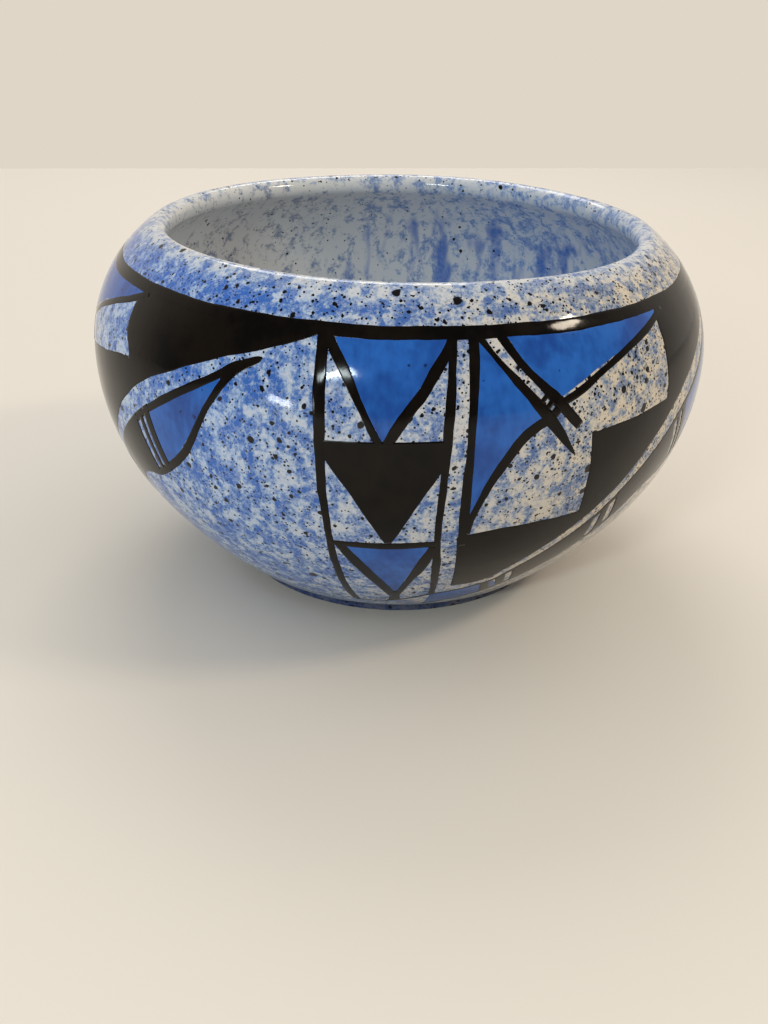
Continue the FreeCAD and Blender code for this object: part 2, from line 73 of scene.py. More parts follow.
# The painted panel.
LEFT_UPRIGHT = (
    (-12.6, 69, 2.2), (-12.1, 58, 2.2), (-11.6, 44.5, 1.8), (-11.2, 30, 1.5), (-10.9, 17, 1.6),
    (-9.8, 7.2, 1.8),
)
RIGHT_UPRIGHT = (
    (8.4, 69, 1.8), (7.5, 56, 1.6), (7.1, 45, 1.5), (7.0, 36, 1.6), (7.4, 28, 1.5),
    (9.5, 10.4, 1.4),
)
CROSSBAR = ((-11.3, 29.1, 1.8), (-2, 29.1, 1.9), (7.2, 29.7, 1.6))
FOOT_LINE = ((-9.8, 6.8, 0.9), (-4, 6.9, 0.9), (3, 8.3, 1.0), (10, 11.2, 1.0))
BLUE_TRIANGLE = (
    (
        ((-11.4, 69), (-3.4, 53), (-2.2, 51.5)),
        ((8.2, 69), (7.3, 66.8), (4.7, 63), (1.5, 57.8), (-1.9, 51.5)),
    ),
)
CHEVRON_LEFT = (
    (
        ((-12, 69), (-11.6, 66), (-8.8, 61.3), (-6.3, 56.6), (-3.4, 50.6)),
        ((-10.7, 69), (-10.4, 67), (-7.5, 62.5), (-4.8, 56.7), (-1.8, 50.6)),
    ),
)
CHEVRON_RIGHT = (
    (
        ((7.2, 69), (6.8, 66.8), (4.2, 63.2), (2.7, 60.3), (1.1, 58), (-1.3, 53.9), (-2.6, 50.6)),
        ((8.6, 69), (7.9, 65.4), (5.5, 61.2), (3.8, 58.2), (2.4, 56.3), (0.6, 53.3), (-0.9, 50.6)),
    ),
)
BLACK_TRIANGLE = (
    (((-12, 51), (-11.4, 48.2)), ((7.8, 51.8), (7.2, 47.2))),
    (((-11.4, 48.2), (-6.4, 39.4), (-1.9, 30)), ((7.2, 47.2), (3.7, 39.7), (-0.5, 30))),
)
PENDANT_BLUE = ((((-9.2, 29), (-5.8, 24), (0, 12.8)), ((6.4, 29), (3.9, 22), (0.9, 12.8))),)
PENDANT_LEFT = (
    (
        ((-10.8, 29), (-8.4, 23.8), (-4.8, 17.2), (-0.2, 9.6)),
        ((-8.5, 29), (-5.4, 23.9), (-2.6, 18.6), (0.9, 12)),
    ),
)
PENDANT_RIGHT = (
    (
        ((5.8, 29), (4.2, 24.6), (2.4, 18), (0.3, 12)),
        ((7.9, 29), (5.9, 21.9), (3.9, 17), (1.3, 9.6)),
    ),
)
PENDANT_STEM = ((0.5, 12.6, 1.7), (0.6, 7.8, 2.4))

# The crossed feather beside it.
THICK_UPRIGHT = (
    (11.8, 69, 1.9), (11.2, 59, 1.9), (10.9, 50, 1.8), (10.8, 42, 1.8), (11.5, 29, 1.8),
)
LONG_SHAFT = (
    (12.2, 68, 1.5), (15.5, 63.9, 1.6), (19.9, 58.6, 1.8), (21.6, 56.4, 2.1), (23.7, 53.7, 2.1),
    (26, 50.5, 1.7), (28.6, 46.7, 0.3),
)
SHORT_SHAFT = (
    (15.6, 68.8, 1.9), (19.2, 63.4, 1.8), (22.4, 59.7, 1.9), (24.4, 57.5, 2.4), (26.5, 55, 2.0),
    (28.9, 52.2, 1.8),
)
QUILL_BARS = (
    ((22.2, 58, 1.8), (22.75, 57.4, 1.8)),
    ((23.05, 57, 1.8), (23.75, 56.3, 1.8)),
    ((24.05, 55.9, 1.9), (25, 54.7, 1.9)),
)
UPPER_EDGE = (
    (25, 56.3, 1.4), (29.5, 58.4, 1.5), (35.1, 61.2, 1.5), (42.7, 64, 1.6), (48, 65.6, 1.8),
    (53.5, 67.6, 1.8),
)
LOWER_EDGE = (
    (24, 54.6, 2.2), (20.8, 52.9, 2.2), (17.8, 49.8, 2.1), (14.4, 43.2, 1.8), (12.5, 36.7, 1.5),
    (11.9, 32, 1.3),
)
LONG_BLUE = (
    (((11.9, 69), (11.5, 60), (11.3, 55)), ((12.8, 68.6), (18.9, 59.6), (22.3, 54.6))),
    (((11.3, 55), (11.2, 46), (11.7, 37)), ((22.3, 54.6), (18.7, 52.2), (15.5, 46.3), (12, 37))),
)
UPPER_BLUE = (
    (
        ((16.0, 69), (19.0, 63.7), (22.1, 60.1), (24.7, 58)),
        (
            (53.5, 69), (51, 66.9), (47, 65.1), (38.4, 62.95), (33.5, 61.4), (29.1, 59.35),
            (25.3, 57.6),
        ),
    ),
)

# The stepped wing: the step's inner and outer corner for each motif, the sides below and
# above them, the outer sweep, and where each side's stretch of the sweep ends.
STEP_CORNERS = (
    ((31.3, 50.4), (50.2, 51.8)),
    ((31.3, 52.8), (53.3, 56.7)),
    ((31.6, 51.2), (51.2, 53.6)),
)
WING_FOOT = ((10.4, 31.2), (16.8, 32.6), (24, 33.1), (33, 33.1))
WING_STEP = (32.4, 41)
WING_TOP = ((50.4, 62), (51, 69))
WING_SWEEP = (
    (12.9, 14.6), (17.5, 14.8), (21.6, 16.4), (24.6, 19.6), (30.5, 25.4), (36.6, 31.6),
    (43.4, 38.9), (50, 46.3), (55, 51.2), (60, 54.7), (65.6, 57.5), (71.5, 60.1), (77, 62.5),
    (83.5, 64.7), (88.4, 66.4), (92.4, 68),
)
WING_STOPS = (12.9, 36.6, 45, 56, 92.4)

# The long leaf under it.
LEAF_UPPER = (
    (9.6, 11.4), (13.7, 12.2), (18.2, 13.3), (22.5, 14.8), (25.4, 17.7), (31.5, 23.6), (37.7, 29.6),
    (45, 37.3), (51, 42.8), (57, 47.9), (65.6, 53.9), (73.6, 59), (78, 61.8), (82.6, 63.1),
)
LEAF_LOWER = (
    (9, 4.4), (14, 5.4), (22, 7.7), (30, 12), (38, 18.5), (43, 23.3), (47, 27.5), (50.5, 31.2),
    (54.5, 32.9), (58, 33.8), (62.1, 36.4), (65.9, 39.5), (69.2, 43.4), (72, 48.5), (74.2, 52.8),
    (77.7, 58.7), (80.9, 61.6), (82.6, 63),
)
# Black between the pairs of stripes: from and to on the upper edge, then on the lower one.
LEAF_BLACKS = (
    ((20.3, 22.1), (23.3, 25.7)),
    ((23.2, 24.8), (26.8, 28.3)),
    ((25.9, 38.6), (29.4, 41.2)),
    ((39.8, 41.0), (42.4, 44.0)),
    ((42.2, 55.1), (45.2, 59.3)),
    ((56.0, 57.1), (60.1, 61.1)),
    ((57.7, 59.3), (61.6, 63.2)),
)
LEAF_TIP_BLUE = (
    (
        ((59, 47.8), (65.7, 52.4), (75.6, 58.6)),
        ((62, 37.8), (66.6, 42.4), (71.4, 49.7), (75.6, 58.4)),
    ),
)
LEAF_FOOT_BLUE = ((((9.2, 10.8), (15, 12), (22.6, 14.6)), ((9.2, 5), (18, 7.1), (27.4, 10.8))),)

# How thickly each node's paint lies, as a share of the brush's lift: black over blue.
LIFT_SHARES = {
    "rim_line": 1.4,
    "panel_frame_lines": 1.3,
    "foot_line": 1.1,
    "panel_chevron": 1.05,
    "panel_black_triangle": 0.95,
    "panel_pendant_outline": 1.05,
    "panel_blue_triangle": 0.65,
    "panel_blue_pendant": 0.65,
    "feather_upright": 1.2,
    "feather_shafts": 1.3,
    "feather_edges": 1.05,
    "feather_blue_fields": 0.65,
    "stepped_wing": 0.95,
    "leaf_band": 1.0,
    "leaf_blue_fields": 0.65,
}

# Dark specks: cells to the metre, least and greatest radius as shares of a cell, and the
# share of cells that have one, in the glaze where they crowd and in the blue paint.
SPECK_LAYERS = (
    (200.0, 0.07, 0.18, 0.6),
    (400.0, 0.12, 0.26, 0.85),
    (760.0, 0.15, 0.29, 0.85),
    (1400.0, 0.2, 0.34, 0.75),
)
PAINT_SPECKS = (420.0, 0.05, 0.16, 0.25)

# Patterns of the glaze and of the paint: about how many features they have to the metre.
WASHES = 110.0
BLOTCHES = 380.0
GRAIN = 1300.0
THREADS = 420.0
RUNS = 190.0
CROWDS = 70.0
DUST = 1700.0
SHINE = 160.0
POOLS = 110.0
BRUSH_MARKS = 700.0
RIPPLES = 90.0
FINE_RIPPLES = 700.0

# The tone at which each wash of blue begins and is full, from the palest to the deepest.
TONES = ((0.15, 0.5), (0.4, 0.68), (0.62, 0.9))

# The bluer side of the outside: the bearing it faces, in radians, and how soon it ends. Its
# warmer, greyer other side is partly the glaze and partly painted warm light from the right.
BLUE_BEARING = -1.5
BLUE_EDGE = 0.9

# The flow of the glaze: how far it is spread round the bowl and squeezed down the wall.
FLOW_SPREAD = 1.1
FLOW_SQUEEZE = 0.85

# Half the bare clay's width, as a share of the foot ring.
BARE_SHARE = 0.42


class BowlSizes(bpy.types.PropertyGroup):
    """Sizes of the thrown shape."""

    belly_radius: FloatProperty(
        name="Belly radius", description="Axis to the widest part", default=BOWL_HIGH[0],
        unit="LENGTH",
    )
    rim_height: FloatProperty(
        name="Rim height", description="Floor to the crest of the lip", default=BOWL_HIGH[2],
        unit="LENGTH",
    )
    belly_height: FloatProperty(
        name="Belly height", description="Floor to the widest part", default=0.050, unit="LENGTH"
    )
    crest_inset: FloatProperty(
        name="Crest inset", description="Widest part in to the crest of the lip", default=0.0139,
        unit="LENGTH",
    )
    wall: FloatProperty(
        name="Wall", description="Thickness of the wall", default=0.0048, unit="LENGTH"
    )
    floor: FloatProperty(
        name="Floor", description="Thickness of the floor", default=0.005, unit="LENGTH"
    )
    floor_curve: FloatProperty(
        name="Floor curve", description="Radius between floor and wall inside", default=0.020,
        unit="LENGTH",
    )
    foot_radius: FloatProperty(
        name="Foot radius", description="Outside of the foot", default=0.0352, unit="LENGTH"
    )
    foot_depth: FloatProperty(
        name="Foot depth", description="Height of the foot", default=0.0023, unit="LENGTH"
    )
    foot_cove: FloatProperty(
        name="Foot cove", description="Hollow round between foot and wall", default=0.0017,
        unit="LENGTH",
    )
    foot_ring: FloatProperty(
        name="Foot ring", description="Width of the resting ring", default=0.0052, unit="LENGTH"
    )
    foot_recess: FloatProperty(
        name="Foot recess", description="Hollow under the floor", default=0.0018, unit="LENGTH"
    )
    recess_slope: FloatProperty(
        name="Recess slope", description="Run of the slope into the hollow", default=0.0015,
        unit="LENGTH",
    )
    belly_curve_share: FloatProperty(
        name="Belly curve", description="Share of the single arc's radius that the belly has",
        default=0.88,
    )
    joint_share: FloatProperty(
        name="Joint", description="Share of the belly's turn before the lower wall", default=0.78
    )
    sway: FloatProperty(
        name="Sway", description="How far the hand-made shape strays from round", default=0.00022,
        unit="LENGTH",
    )
    columns: IntProperty(name="Columns", description="Faces round the bowl", default=360, min=36)
    wall_step: FloatProperty(
        name="Wall step", description="Face height on the wall", default=0.0012, unit="LENGTH"
    )
    edge_step: FloatProperty(
        name="Edge step", description="Face height on the lip and the foot", default=0.00045,
        unit="LENGTH",
    )


class BrushSettings(bpy.types.PropertyGroup):
    """How the brushwork lies on the wall."""

    step: FloatProperty(
        name="Step", description="Spacing of points along a stroke", default=0.0004, unit="LENGTH"
    )
    wander: FloatProperty(
        name="Wander", description="How far a painted edge strays", default=0.00008, unit="LENGTH"
    )
    lift: FloatProperty(
        name="Lift", description="How far the paint stands out", default=0.00004, unit="LENGTH"
    )
    depth: FloatProperty(
        name="Depth", description="How far the back of the paint sinks in the glaze",
        default=0.00012, unit="LENGTH",
    )
    border: FloatProperty(
        name="Border", description="Width of the soft edge of the paint", default=0.0005,
        unit="LENGTH",
    )
    foot_outline: FloatProperty(
        name="Leaf outline at the foot", description="Width of the leaf's outline at the foot",
        default=0.0009, unit="LENGTH",
    )
    tip_outline: FloatProperty(
        name="Leaf outline at the tip", description="Width of the leaf's outline at the tip",
        default=0.0017, unit="LENGTH",
    )


class GlazeColours(bpy.types.PropertyGroup):
    """Colours of the glaze and the brushwork."""

    cream: FloatVectorProperty(
        name="Cream", description="Ground of the glaze", subtype="COLOR",
        default=(0.48, 0.555, 0.69),
    )
    # The less blue side's colours are partly the glaze and partly painted warm light from the
    # right.
    warm_cream: FloatVectorProperty(
        name="Warm cream", description="Ground on the less blue side", subtype="COLOR",
        default=(0.62, 0.53, 0.41),
    )
    inner_cream: FloatVectorProperty(
        name="Inner cream", description="Ground inside the bowl", subtype="COLOR",
        default=(0.78, 0.77, 0.71),
    )
    pale_blue: FloatVectorProperty(
        name="Pale blue", description="Thin blue wash", subtype="COLOR", default=(0.31, 0.43, 0.67)
    )
    pale_grey: FloatVectorProperty(
        name="Pale grey", description="Thin wash on the less blue side", subtype="COLOR",
        default=(0.38, 0.38, 0.38),
    )
    mid_blue: FloatVectorProperty(
        name="Mid blue", description="Sponged blue", subtype="COLOR", default=(0.120, 0.225, 0.510)
    )
    grey_blue: FloatVectorProperty(
        name="Grey blue", description="Sponged blue on the less blue side", subtype="COLOR",
        default=(0.17, 0.23, 0.35),
    )
    deep_grey: FloatVectorProperty(
        name="Deep grey blue", description="Heart of a blotch on the less blue side",
        subtype="COLOR", default=(0.085, 0.135, 0.27),
    )
    deep_blue: FloatVectorProperty(
        name="Deep blue", description="Heart of a blue blotch", subtype="COLOR",
        default=(0.038, 0.135, 0.480),
    )
    speck: FloatVectorProperty(
        name="Speck", description="Dark specks", subtype="COLOR", default=(0.003, 0.003, 0.0045)
    )
    # Painted shade round the foot, where shade falls under the bowl.
    foot_shade_blue: FloatVectorProperty(
        name="Foot blue", description="Glaze that pooled round the foot", subtype="COLOR",
        default=(0.022, 0.030, 0.080),
    )
    clay: FloatVectorProperty(
        name="Clay", description="Bare fired clay", subtype="COLOR", default=(0.66, 0.56, 0.43)
    )
    black: FloatVectorProperty(
        name="Black", description="Black paint", subtype="COLOR", default=(0.0015, 0.0013, 0.0013)
    )
    brown_black: FloatVectorProperty(
        name="Thin black", description="Black paint where it is thin", subtype="COLOR",
        default=(0.007, 0.0045, 0.003),
    )
    cobalt: FloatVectorProperty(
        name="Cobalt", description="Blue paint", subtype="COLOR", default=(0.020, 0.125, 0.465)
    )
    dark_cobalt: FloatVectorProperty(
        name="Dark cobalt", description="Blue paint where it is thick", subtype="COLOR",
        default=(0.010, 0.060, 0.275),
    )


class StageSettings(bpy.types.PropertyGroup):
    """Floor, lamps and camera."""

    floor_colour: FloatVectorProperty(
        name="Floor", description="Colour of the floor", subtype="COLOR", default=(0.72, 0.66, 0.58)
    )
    floor_size: FloatProperty(
        name="Floor size", description="Width of the floor", default=6.0, unit="LENGTH"
    )
    floor_depth: FloatProperty(
        name="Floor depth", description="How far the floor reaches behind the bowl", default=0.51,
        unit="LENGTH",
    )
    floor_slant: FloatProperty(
        name="Floor slant", description="Rise of the floor's back edge for each metre across",
        default=0.155,
    )
    backdrop_colour: FloatVectorProperty(
        name="Backdrop", description="Colour of the backdrop", subtype="COLOR",
        default=(0.745, 0.672, 0.578),
    )
    dim_side: FloatProperty(
        name="Dim side", description="Strength of the sky in front and below", default=0.22
    )
    bright_side: FloatProperty(
        name="Bright side", description="Strength of the sky behind and above", default=0.85
    )
    low: FloatProperty(
        name="Low lamp", description="Power of the small low lamp", default=0.42, unit="POWER"
    )
    window: FloatProperty(
        name="Window", description="Power of the main lamp", default=1.4, unit="POWER"
    )
    back: FloatProperty(
        name="Back lamp", description="Power of the lamp behind", default=2.4, unit="POWER"
    )
    side: FloatProperty(
        name="Side lamp", description="Power of the warm lamp", default=1.3, unit="POWER"
    )
    lens: FloatProperty(name="Lens", description="Focal length", default=38.67, unit="CAMERA")
    pitch: FloatProperty(
        name="Pitch", description="How far the camera looks down", default=0.468, unit="ROTATION"
    )
    roll: FloatProperty(
        name="Roll", description="How far the camera leans", default=0.026, unit="ROTATION"
    )
    place: FloatVectorProperty(
        name="Place", description="Where the camera stands", default=(-0.00209, -0.2339, 0.1238),
        unit="LENGTH",
    )


def arc(centre, radius, start, end, step):
    """Points of an arc: centre plus radius times (cos a, sin a), with a in even steps."""
    count = max(2, round(abs(end - start) * radius / step))
    angle = np.linspace(start, end, count + 1)
    return np.array(centre) + radius * np.stack((np.cos(angle), np.sin(angle)), axis=1)


def run_between(first, second, step):
    """Points of a straight line from first to second in even steps."""
    count = max(1, round(math.dist(first, second) / step))
    share = np.linspace(0, 1, count + 1)[:, None]
    return np.asarray(first) * (1 - share) + np.asarray(second) * share


def joined(parts):
    """Parts that meet end to end as one list of points, each shared end kept once."""
    return np.concatenate([parts[0]] + [part[1:] for part in parts[1:]])


def lengths_of(points):
    """Length along a line of points at each of them."""
    return np.concatenate(([0.0], np.cumsum(np.linalg.norm(np.diff(points, axis=0), axis=1))))


class Wall:
    """The bowl's outline as arcs that run on into each other, and places on its outside."""

    def __init__(self, sizes):
        self.sizes = sizes
        run = sizes.belly_radius - sizes.foot_radius - sizes.foot_cove
        rise = sizes.belly_height - sizes.foot_depth
        curve = sizes.belly_curve_share * (run**2 + rise**2) / (2 * run)
        grazing = math.atan2(rise, curve - run) - math.acos(curve / math.hypot(curve - run, rise))
        self.belly = (sizes.belly_radius - curve, sizes.belly_height)
        self.belly_curve = curve
        self.joint = -sizes.joint_share * grazing
        inward = np.array((-math.cos(self.joint), -math.sin(self.joint)))
        joint_point = np.array(self.belly) - curve * inward
        chord = np.array((sizes.foot_radius + sizes.foot_cove, sizes.foot_depth)) - joint_point
        self.lower_curve = float(chord @ chord / (2 * chord @ inward))
        self.lower = tuple(joint_point + self.lower_curve * inward)
        self.lower_start = math.asin((sizes.foot_depth - self.lower[1]) / self.lower_curve)
        roll = sizes.wall / 2
        climb = sizes.rim_height - sizes.belly_height - roll
        inset = sizes.crest_inset
        self.shoulder_curve = (inset**2 + climb**2 - roll**2) / (2 * (inset - roll))
        self.shoulder = (sizes.belly_radius - self.shoulder_curve, sizes.belly_height)
        self.turn = math.atan2(climb, self.shoulder_curve - inset)
        self.lip = (sizes.belly_radius - inset, sizes.belly_height + climb)
        self.table = self.outside(sizes.edge_step / 4)
        self.runs = lengths_of(self.table)
        slope = np.gradient(self.table, self.runs, axis=0)
        self.normals = np.stack((slope[:, 1], -slope[:, 0]), axis=1)

    def outside(self, step):
        """The painted side of the outline, from the foot's cove to the lip's round."""
        return joined((
            arc(self.lower, self.lower_curve, self.lower_start, self.joint, step),
            arc(self.belly, self.belly_curve, self.joint, 0, step),
            arc(self.shoulder, self.shoulder_curve, 0, self.turn, step),
        ))

    def outline(self):
        """The whole outline, from the middle of the underside round to the middle of the floor.

        Each stretch is an arc or a straight line. The foot's corners are softened by
        averaging each point with its neighbours.
        """
        sizes = self.sizes
        fine = sizes.edge_step
        step = sizes.wall_step
        foot = sizes.foot_radius
        inner = foot - sizes.foot_ring
        slope_end = inner - sizes.recess_slope
        cove = sizes.foot_cove
        edge = sizes.foot_depth - cove
        recess = sizes.foot_recess
        under = joined((
            run_between((0, recess), (slope_end, recess), step),
            run_between((slope_end, recess), (inner, 0), fine / 2),
            run_between((inner, 0), (foot, 0), fine / 2),
            run_between((foot, 0), (foot, edge), fine / 2),
            arc((foot + cove, edge), cove, math.pi, math.pi / 2, fine / 2),
        ))
        soft = under.copy()
        soft[1:-1] = (under[:-2] + 2 * under[1:-1] + under[2:]) / 4
        soft[1:-1] = (soft[:-2] + 2 * soft[1:-1] + soft[2:]) / 4
        wall = sizes.wall
        floor_top = recess + sizes.floor
        bend = sizes.floor_curve
        reach = self.lower_curve - wall - bend
        drop = floor_top + bend - self.lower[1]
        corner = (self.lower[0] + math.sqrt(reach**2 - drop**2), floor_top + bend)
        corner_turn = math.atan2(drop, corner[0] - self.lower[0])
        return joined((
            soft,
            self.outside(step),
            arc(self.lip, wall / 2, self.turn, self.turn + math.pi, fine),
            arc(self.shoulder, self.shoulder_curve - wall, self.turn, 0, step),
            arc(self.belly, self.belly_curve - wall, 0, self.joint, step),
            arc(self.lower, self.lower_curve - wall, self.joint, corner_turn, step),
            arc(corner, bend, corner_turn, -math.pi / 2, step),
            run_between((corner[0], floor_top), (0, floor_top), step),
        ))

    def on_paper(self, places):
        """Places with each height, in millimetres, turned into the run: the length up the wall."""
        paper = np.array(places, dtype=float)
        paper[:, 1] = np.interp(paper[:, 1] * MM, self.table[:, 1], self.runs)
        return paper

    def girth(self, run):
        """Length of one degree of bearing at each run."""
        return np.radians(np.interp(run, self.runs, self.table[:, 0]))

    def place(self, bearing, run, lift):
        """Points lift off the wall, along its normal, at each bearing and run."""
        radius = np.interp(run, self.runs, self.table[:, 0])
        height = np.interp(run, self.runs, self.table[:, 1])
        radius = radius + lift * np.interp(run, self.runs, self.normals[:, 0])
        height = height + lift * np.interp(run, self.runs, self.normals[:, 1])
        angle = np.radians(bearing)
        return np.stack((radius * np.sin(angle), -radius * np.cos(angle), height), axis=-1)

    def swayed(self, points):
        """Points moved by the small unevenness of a bowl finished by hand.

        Out from the axis by the sway times two and three waves round the bowl, which fade to
        nothing at the foot, and up by a smaller wave that is fullest at the lip.
        """
        angle = np.arctan2(points[:, 0], -points[:, 1])
        rise = np.clip(points[:, 2] / self.sizes.rim_height, 0, 1)
        out = self.sizes.sway * rise * (np.sin(2 * angle + 0.6) + 0.5 * np.sin(3 * angle + 2.1))
        radius = np.hypot(points[:, 0], points[:, 1])
        from_axis = np.clip(radius / self.sizes.foot_radius, 0, 1)
        grown = 1 + out * from_axis / np.maximum(radius, self.sizes.foot_ring)
        up = self.sizes.sway * rise**3 * (0.8 * np.sin(2 * angle + 2.4) + 0.4 * np.sin(5 * angle))
        return np.stack((points[:, 0] * grown, points[:, 1] * grown, points[:, 2] + up), axis=1)


def enclosed_volume(points, quads):
    """Volume inside closed faces: a sixth of the sum of each triangle's triple product."""
    first, second, third, fourth = (points[quads[:, corner]] for corner in range(4))
    halves = np.cross(second, third) + np.cross(third, fourth)
    return np.einsum("ij,ij->", first, halves) / 6


def mesh_of(name, points, quads, triangles=None):
    """A smooth mesh from arrays of points, quads and triangles."""
    triangles = np.empty((0, 3), dtype=np.int32) if triangles is None else triangles
    corners = np.concatenate((quads.ravel(), triangles.ravel())).astype(np.int32)
    totals = np.concatenate((np.full(len(quads), 4), np.full(len(triangles), 3)))
    starts = np.concatenate(([0], np.cumsum(totals)[:-1]))
    mesh = bpy.data.meshes.new(name)
    mesh.vertices.add(len(points))
    mesh.vertices.foreach_set("co", points.astype(np.float32).ravel())
    mesh.loops.add(len(corners))
    mesh.loops.foreach_set("vertex_index", corners)
    mesh.polygons.add(len(totals))
    mesh.polygons.foreach_set("loop_start", starts.astype(np.int32))
    mesh.polygons.foreach_set("loop_total", totals.astype(np.int32))
    mesh.polygons.foreach_set("use_smooth", np.ones(len(totals), dtype=bool))
    mesh.update(calc_edges=True)
    if mesh.validate():
        raise RuntimeError(name + " has broken faces")
    return mesh


class Brush:
    """Lays paint on the wall: closed shells that sink into the glaze all round their edge."""

    # Across a border: how far in from the edge, and how high there, as shares.
    BORDER_IN = np.array((0.0, 0.15, 0.4, 0.7, 1.0))
    BORDER_UP = np.array((-0.5, 0.2, 0.6, 0.88, 1.0))
    # Lengths of the waves in which a hand strays.
    WAVES = (0.034, 0.017, 0.009, 0.0047, 0.0024)

    def __init__(self, context, node):
        self.context = context
        self.node = node
        self.wall = Wall(context.scene.bowl_sizes)
        self.settings = context.scene.brush_settings
        self.lift = self.settings.lift * LIFT_SHARES[node]
        self.random = np.random.default_rng(sum(map(ord, node)))
        self.turn = 0.0
        self.points = []
        self.quads = []
        self.count = 0

    def motifs(self):
        """Turns the brush to each motif in turn."""
        for number, bearing in enumerate(MOTIF_BEARINGS):
            self.turn = bearing
            yield number

    def distance(self, first, second):
        """Length between places on paper, (bearing, run) each."""
        middle = (first[..., 1] + second[..., 1]) / 2
        across = (second[..., 0] - first[..., 0]) * self.wall.girth(middle)
        return np.hypot(across, second[..., 1] - first[..., 1])

    def smooth(self, places):
        """The curve through the places: each span is the cubic of Catmull and Rom."""
        knots = self.wall.on_paper(places)
        before = 2 * knots[0] - knots[1]
        after = 2 * knots[-1] - knots[-2]
        padded = np.concatenate(([before], knots, [after]))
        share = np.linspace(0, 1, 24, endpoint=False)[None, :, None]
        a, b, c, d = (padded[index : len(padded) - 3 + index, None, :] for index in range(4))
        cubic = b + share * (c - a) / 2 + share**2 * (2 * a - 5 * b + 4 * c - d) / 2
        cubic = cubic + share**3 * (3 * b - a - 3 * c + d) / 2
        return np.concatenate((cubic.reshape(-1, knots.shape[1]), knots[-1:]))

    def reach(self, path):
        """Length along the path at each of its points."""
        return np.concatenate(([0.0], np.cumsum(self.distance(path[:-1], path[1:]))))

    def spread(self, path, count):
        """The path with count points, evenly spaced by length along the wall."""
        along = self.reach(path)
        even = np.linspace(0, along[-1], count)
        return np.stack([np.interp(even, along, column) for column in path.T], axis=1)

    def stations(self, *paths):
        """How many points the longest of these paths needs."""
        longest = max(self.reach(path)[-1] for path in paths)
        return max(4, math.ceil(longest / self.settings.step) + 1)

    def moved_aside(self, path, distance):
        """The path moved to its left by a distance along the wall."""
        girth = self.wall.girth(path[:, 1])
        ahead = np.gradient(path[:, :2], axis=0)
        across = np.stack((-ahead[:, 1], ahead[:, 0] * girth), axis=1)
        across *= (distance / np.linalg.norm(across, axis=1))[:, None]
        return path[:, :2] + np.stack((across[:, 0] / girth, across[:, 1]), axis=1)

    def stray(self, count, closed=False):
        """How a hand strays along an edge: a sum of sine waves of random size and phase."""
        along = np.arange(count) / count
        span = count * self.settings.step
        strayed = np.zeros(count)
        for wave in self.WAVES:
            times = max(1, round(span / wave)) if closed else span / wave
            phase = self.random.uniform(0, 2 * math.pi)
            size = self.random.uniform(0.3, 1.0) * (wave / self.WAVES[1]) ** 0.8
            strayed += size * np.sin(2 * math.pi * times * along + phase)
        return self.settings.wander * strayed

    def shell(self, left, right, closed=False):
        """Paint between two edges, as a ruled surface with softened borders and a back.

        Across each station, the points lie on the straight line from the left edge to the
        right one. They rise from under the glaze at either border to the full lift, and the
        back lies under them at an even depth. The loops are joined along the edges, and
        the first and last are closed by their own front and back.
        """
        width = np.maximum(self.distance(left, right), self.settings.border / 1000)
        near = self.BORDER_IN * np.minimum(self.settings.border / width, 0.45)[:, None]
        inner = max(1, math.ceil(float(width.max()) / self.wall.sizes.wall_step))
        middle = np.linspace(0, 1, inner + 2)[1:-1]
        start = near[:, -1:]
        across = np.concatenate((near, start + (1 - 2 * start) * middle, 1 - near[:, ::-1]), axis=1)
        up = np.concatenate((self.BORDER_UP, np.ones(inner), self.BORDER_UP[::-1])) * self.lift
        bearing = left[:, :1] + across * (right[:, :1] - left[:, :1]) + self.turn
        run = left[:, 1:] + across * (right[:, 1:] - left[:, 1:])
        front = self.wall.place(bearing, run, up)
        back = self.wall.place(bearing, run, np.full(across.shape[1], -self.settings.depth))
        loops = np.concatenate((front, back[:, ::-1]), axis=1)
        rows, around = loops.shape[:2]
        index = np.arange(rows * around).reshape(rows, around)
        ahead = np.roll(index, -1, axis=0) if closed else index[1:]
        here = index if closed else index[:-1]
        beside = (np.roll(ahead, -1, axis=1), np.roll(here, -1, axis=1))
        sides = np.stack((here, ahead, *beside), axis=-1)
        quads = [sides.reshape(-1, 4)]
        if not closed:
            for row, order in ((0, slice(None)), (-1, slice(None, None, -1))):
                ring = index[row]
                cap = np.stack((ring[:-1], ring[1:], ring[::-1][1:], ring[::-1][:-1]), axis=-1)
                quads.append(cap[: around // 2 - 1][:, order])
        quads = np.concatenate(quads)
        points = loops.reshape(-1, 3)
        if enclosed_volume(points - points.mean(axis=0), quads) < 0:
            quads = quads[:, ::-1]
        self.points.append(points)
        self.quads.append(quads + self.count)
        self.count += len(points)

    def stroke(self, places):
        """A brush stroke: each edge lies half the width off the line, strayed by hand."""
        path = self.smooth(places)
        count = self.stations(path)
        path = self.spread(path, count)
        half = path[:, 2] * MM / 2
        left, right = (np.clip(self.stray(count), -half / 2, half / 2) for _ in range(2))
        self.shell(self.moved_aside(path, half + left), self.moved_aside(path, -half - right))

    def field(self, pairs):
        """A painted field: smooth facing sides, each pair met end to end by the next."""
        self.between([(self.smooth(left), self.smooth(right)) for left, right in pairs])

    def between(self, pairs):
        """A painted field between pairs of facing paths that meet end to end."""
        sides = ([], [])
        for pair in pairs:
            count = self.stations(*pair)
            for side, path in zip(sides, pair):
                side.append(self.spread(path, count))
        left, right = map(joined, sides)
        left = self.moved_aside(left, self.stray(len(left)))
        self.shell(left, self.moved_aside(right, self.stray(len(right))))

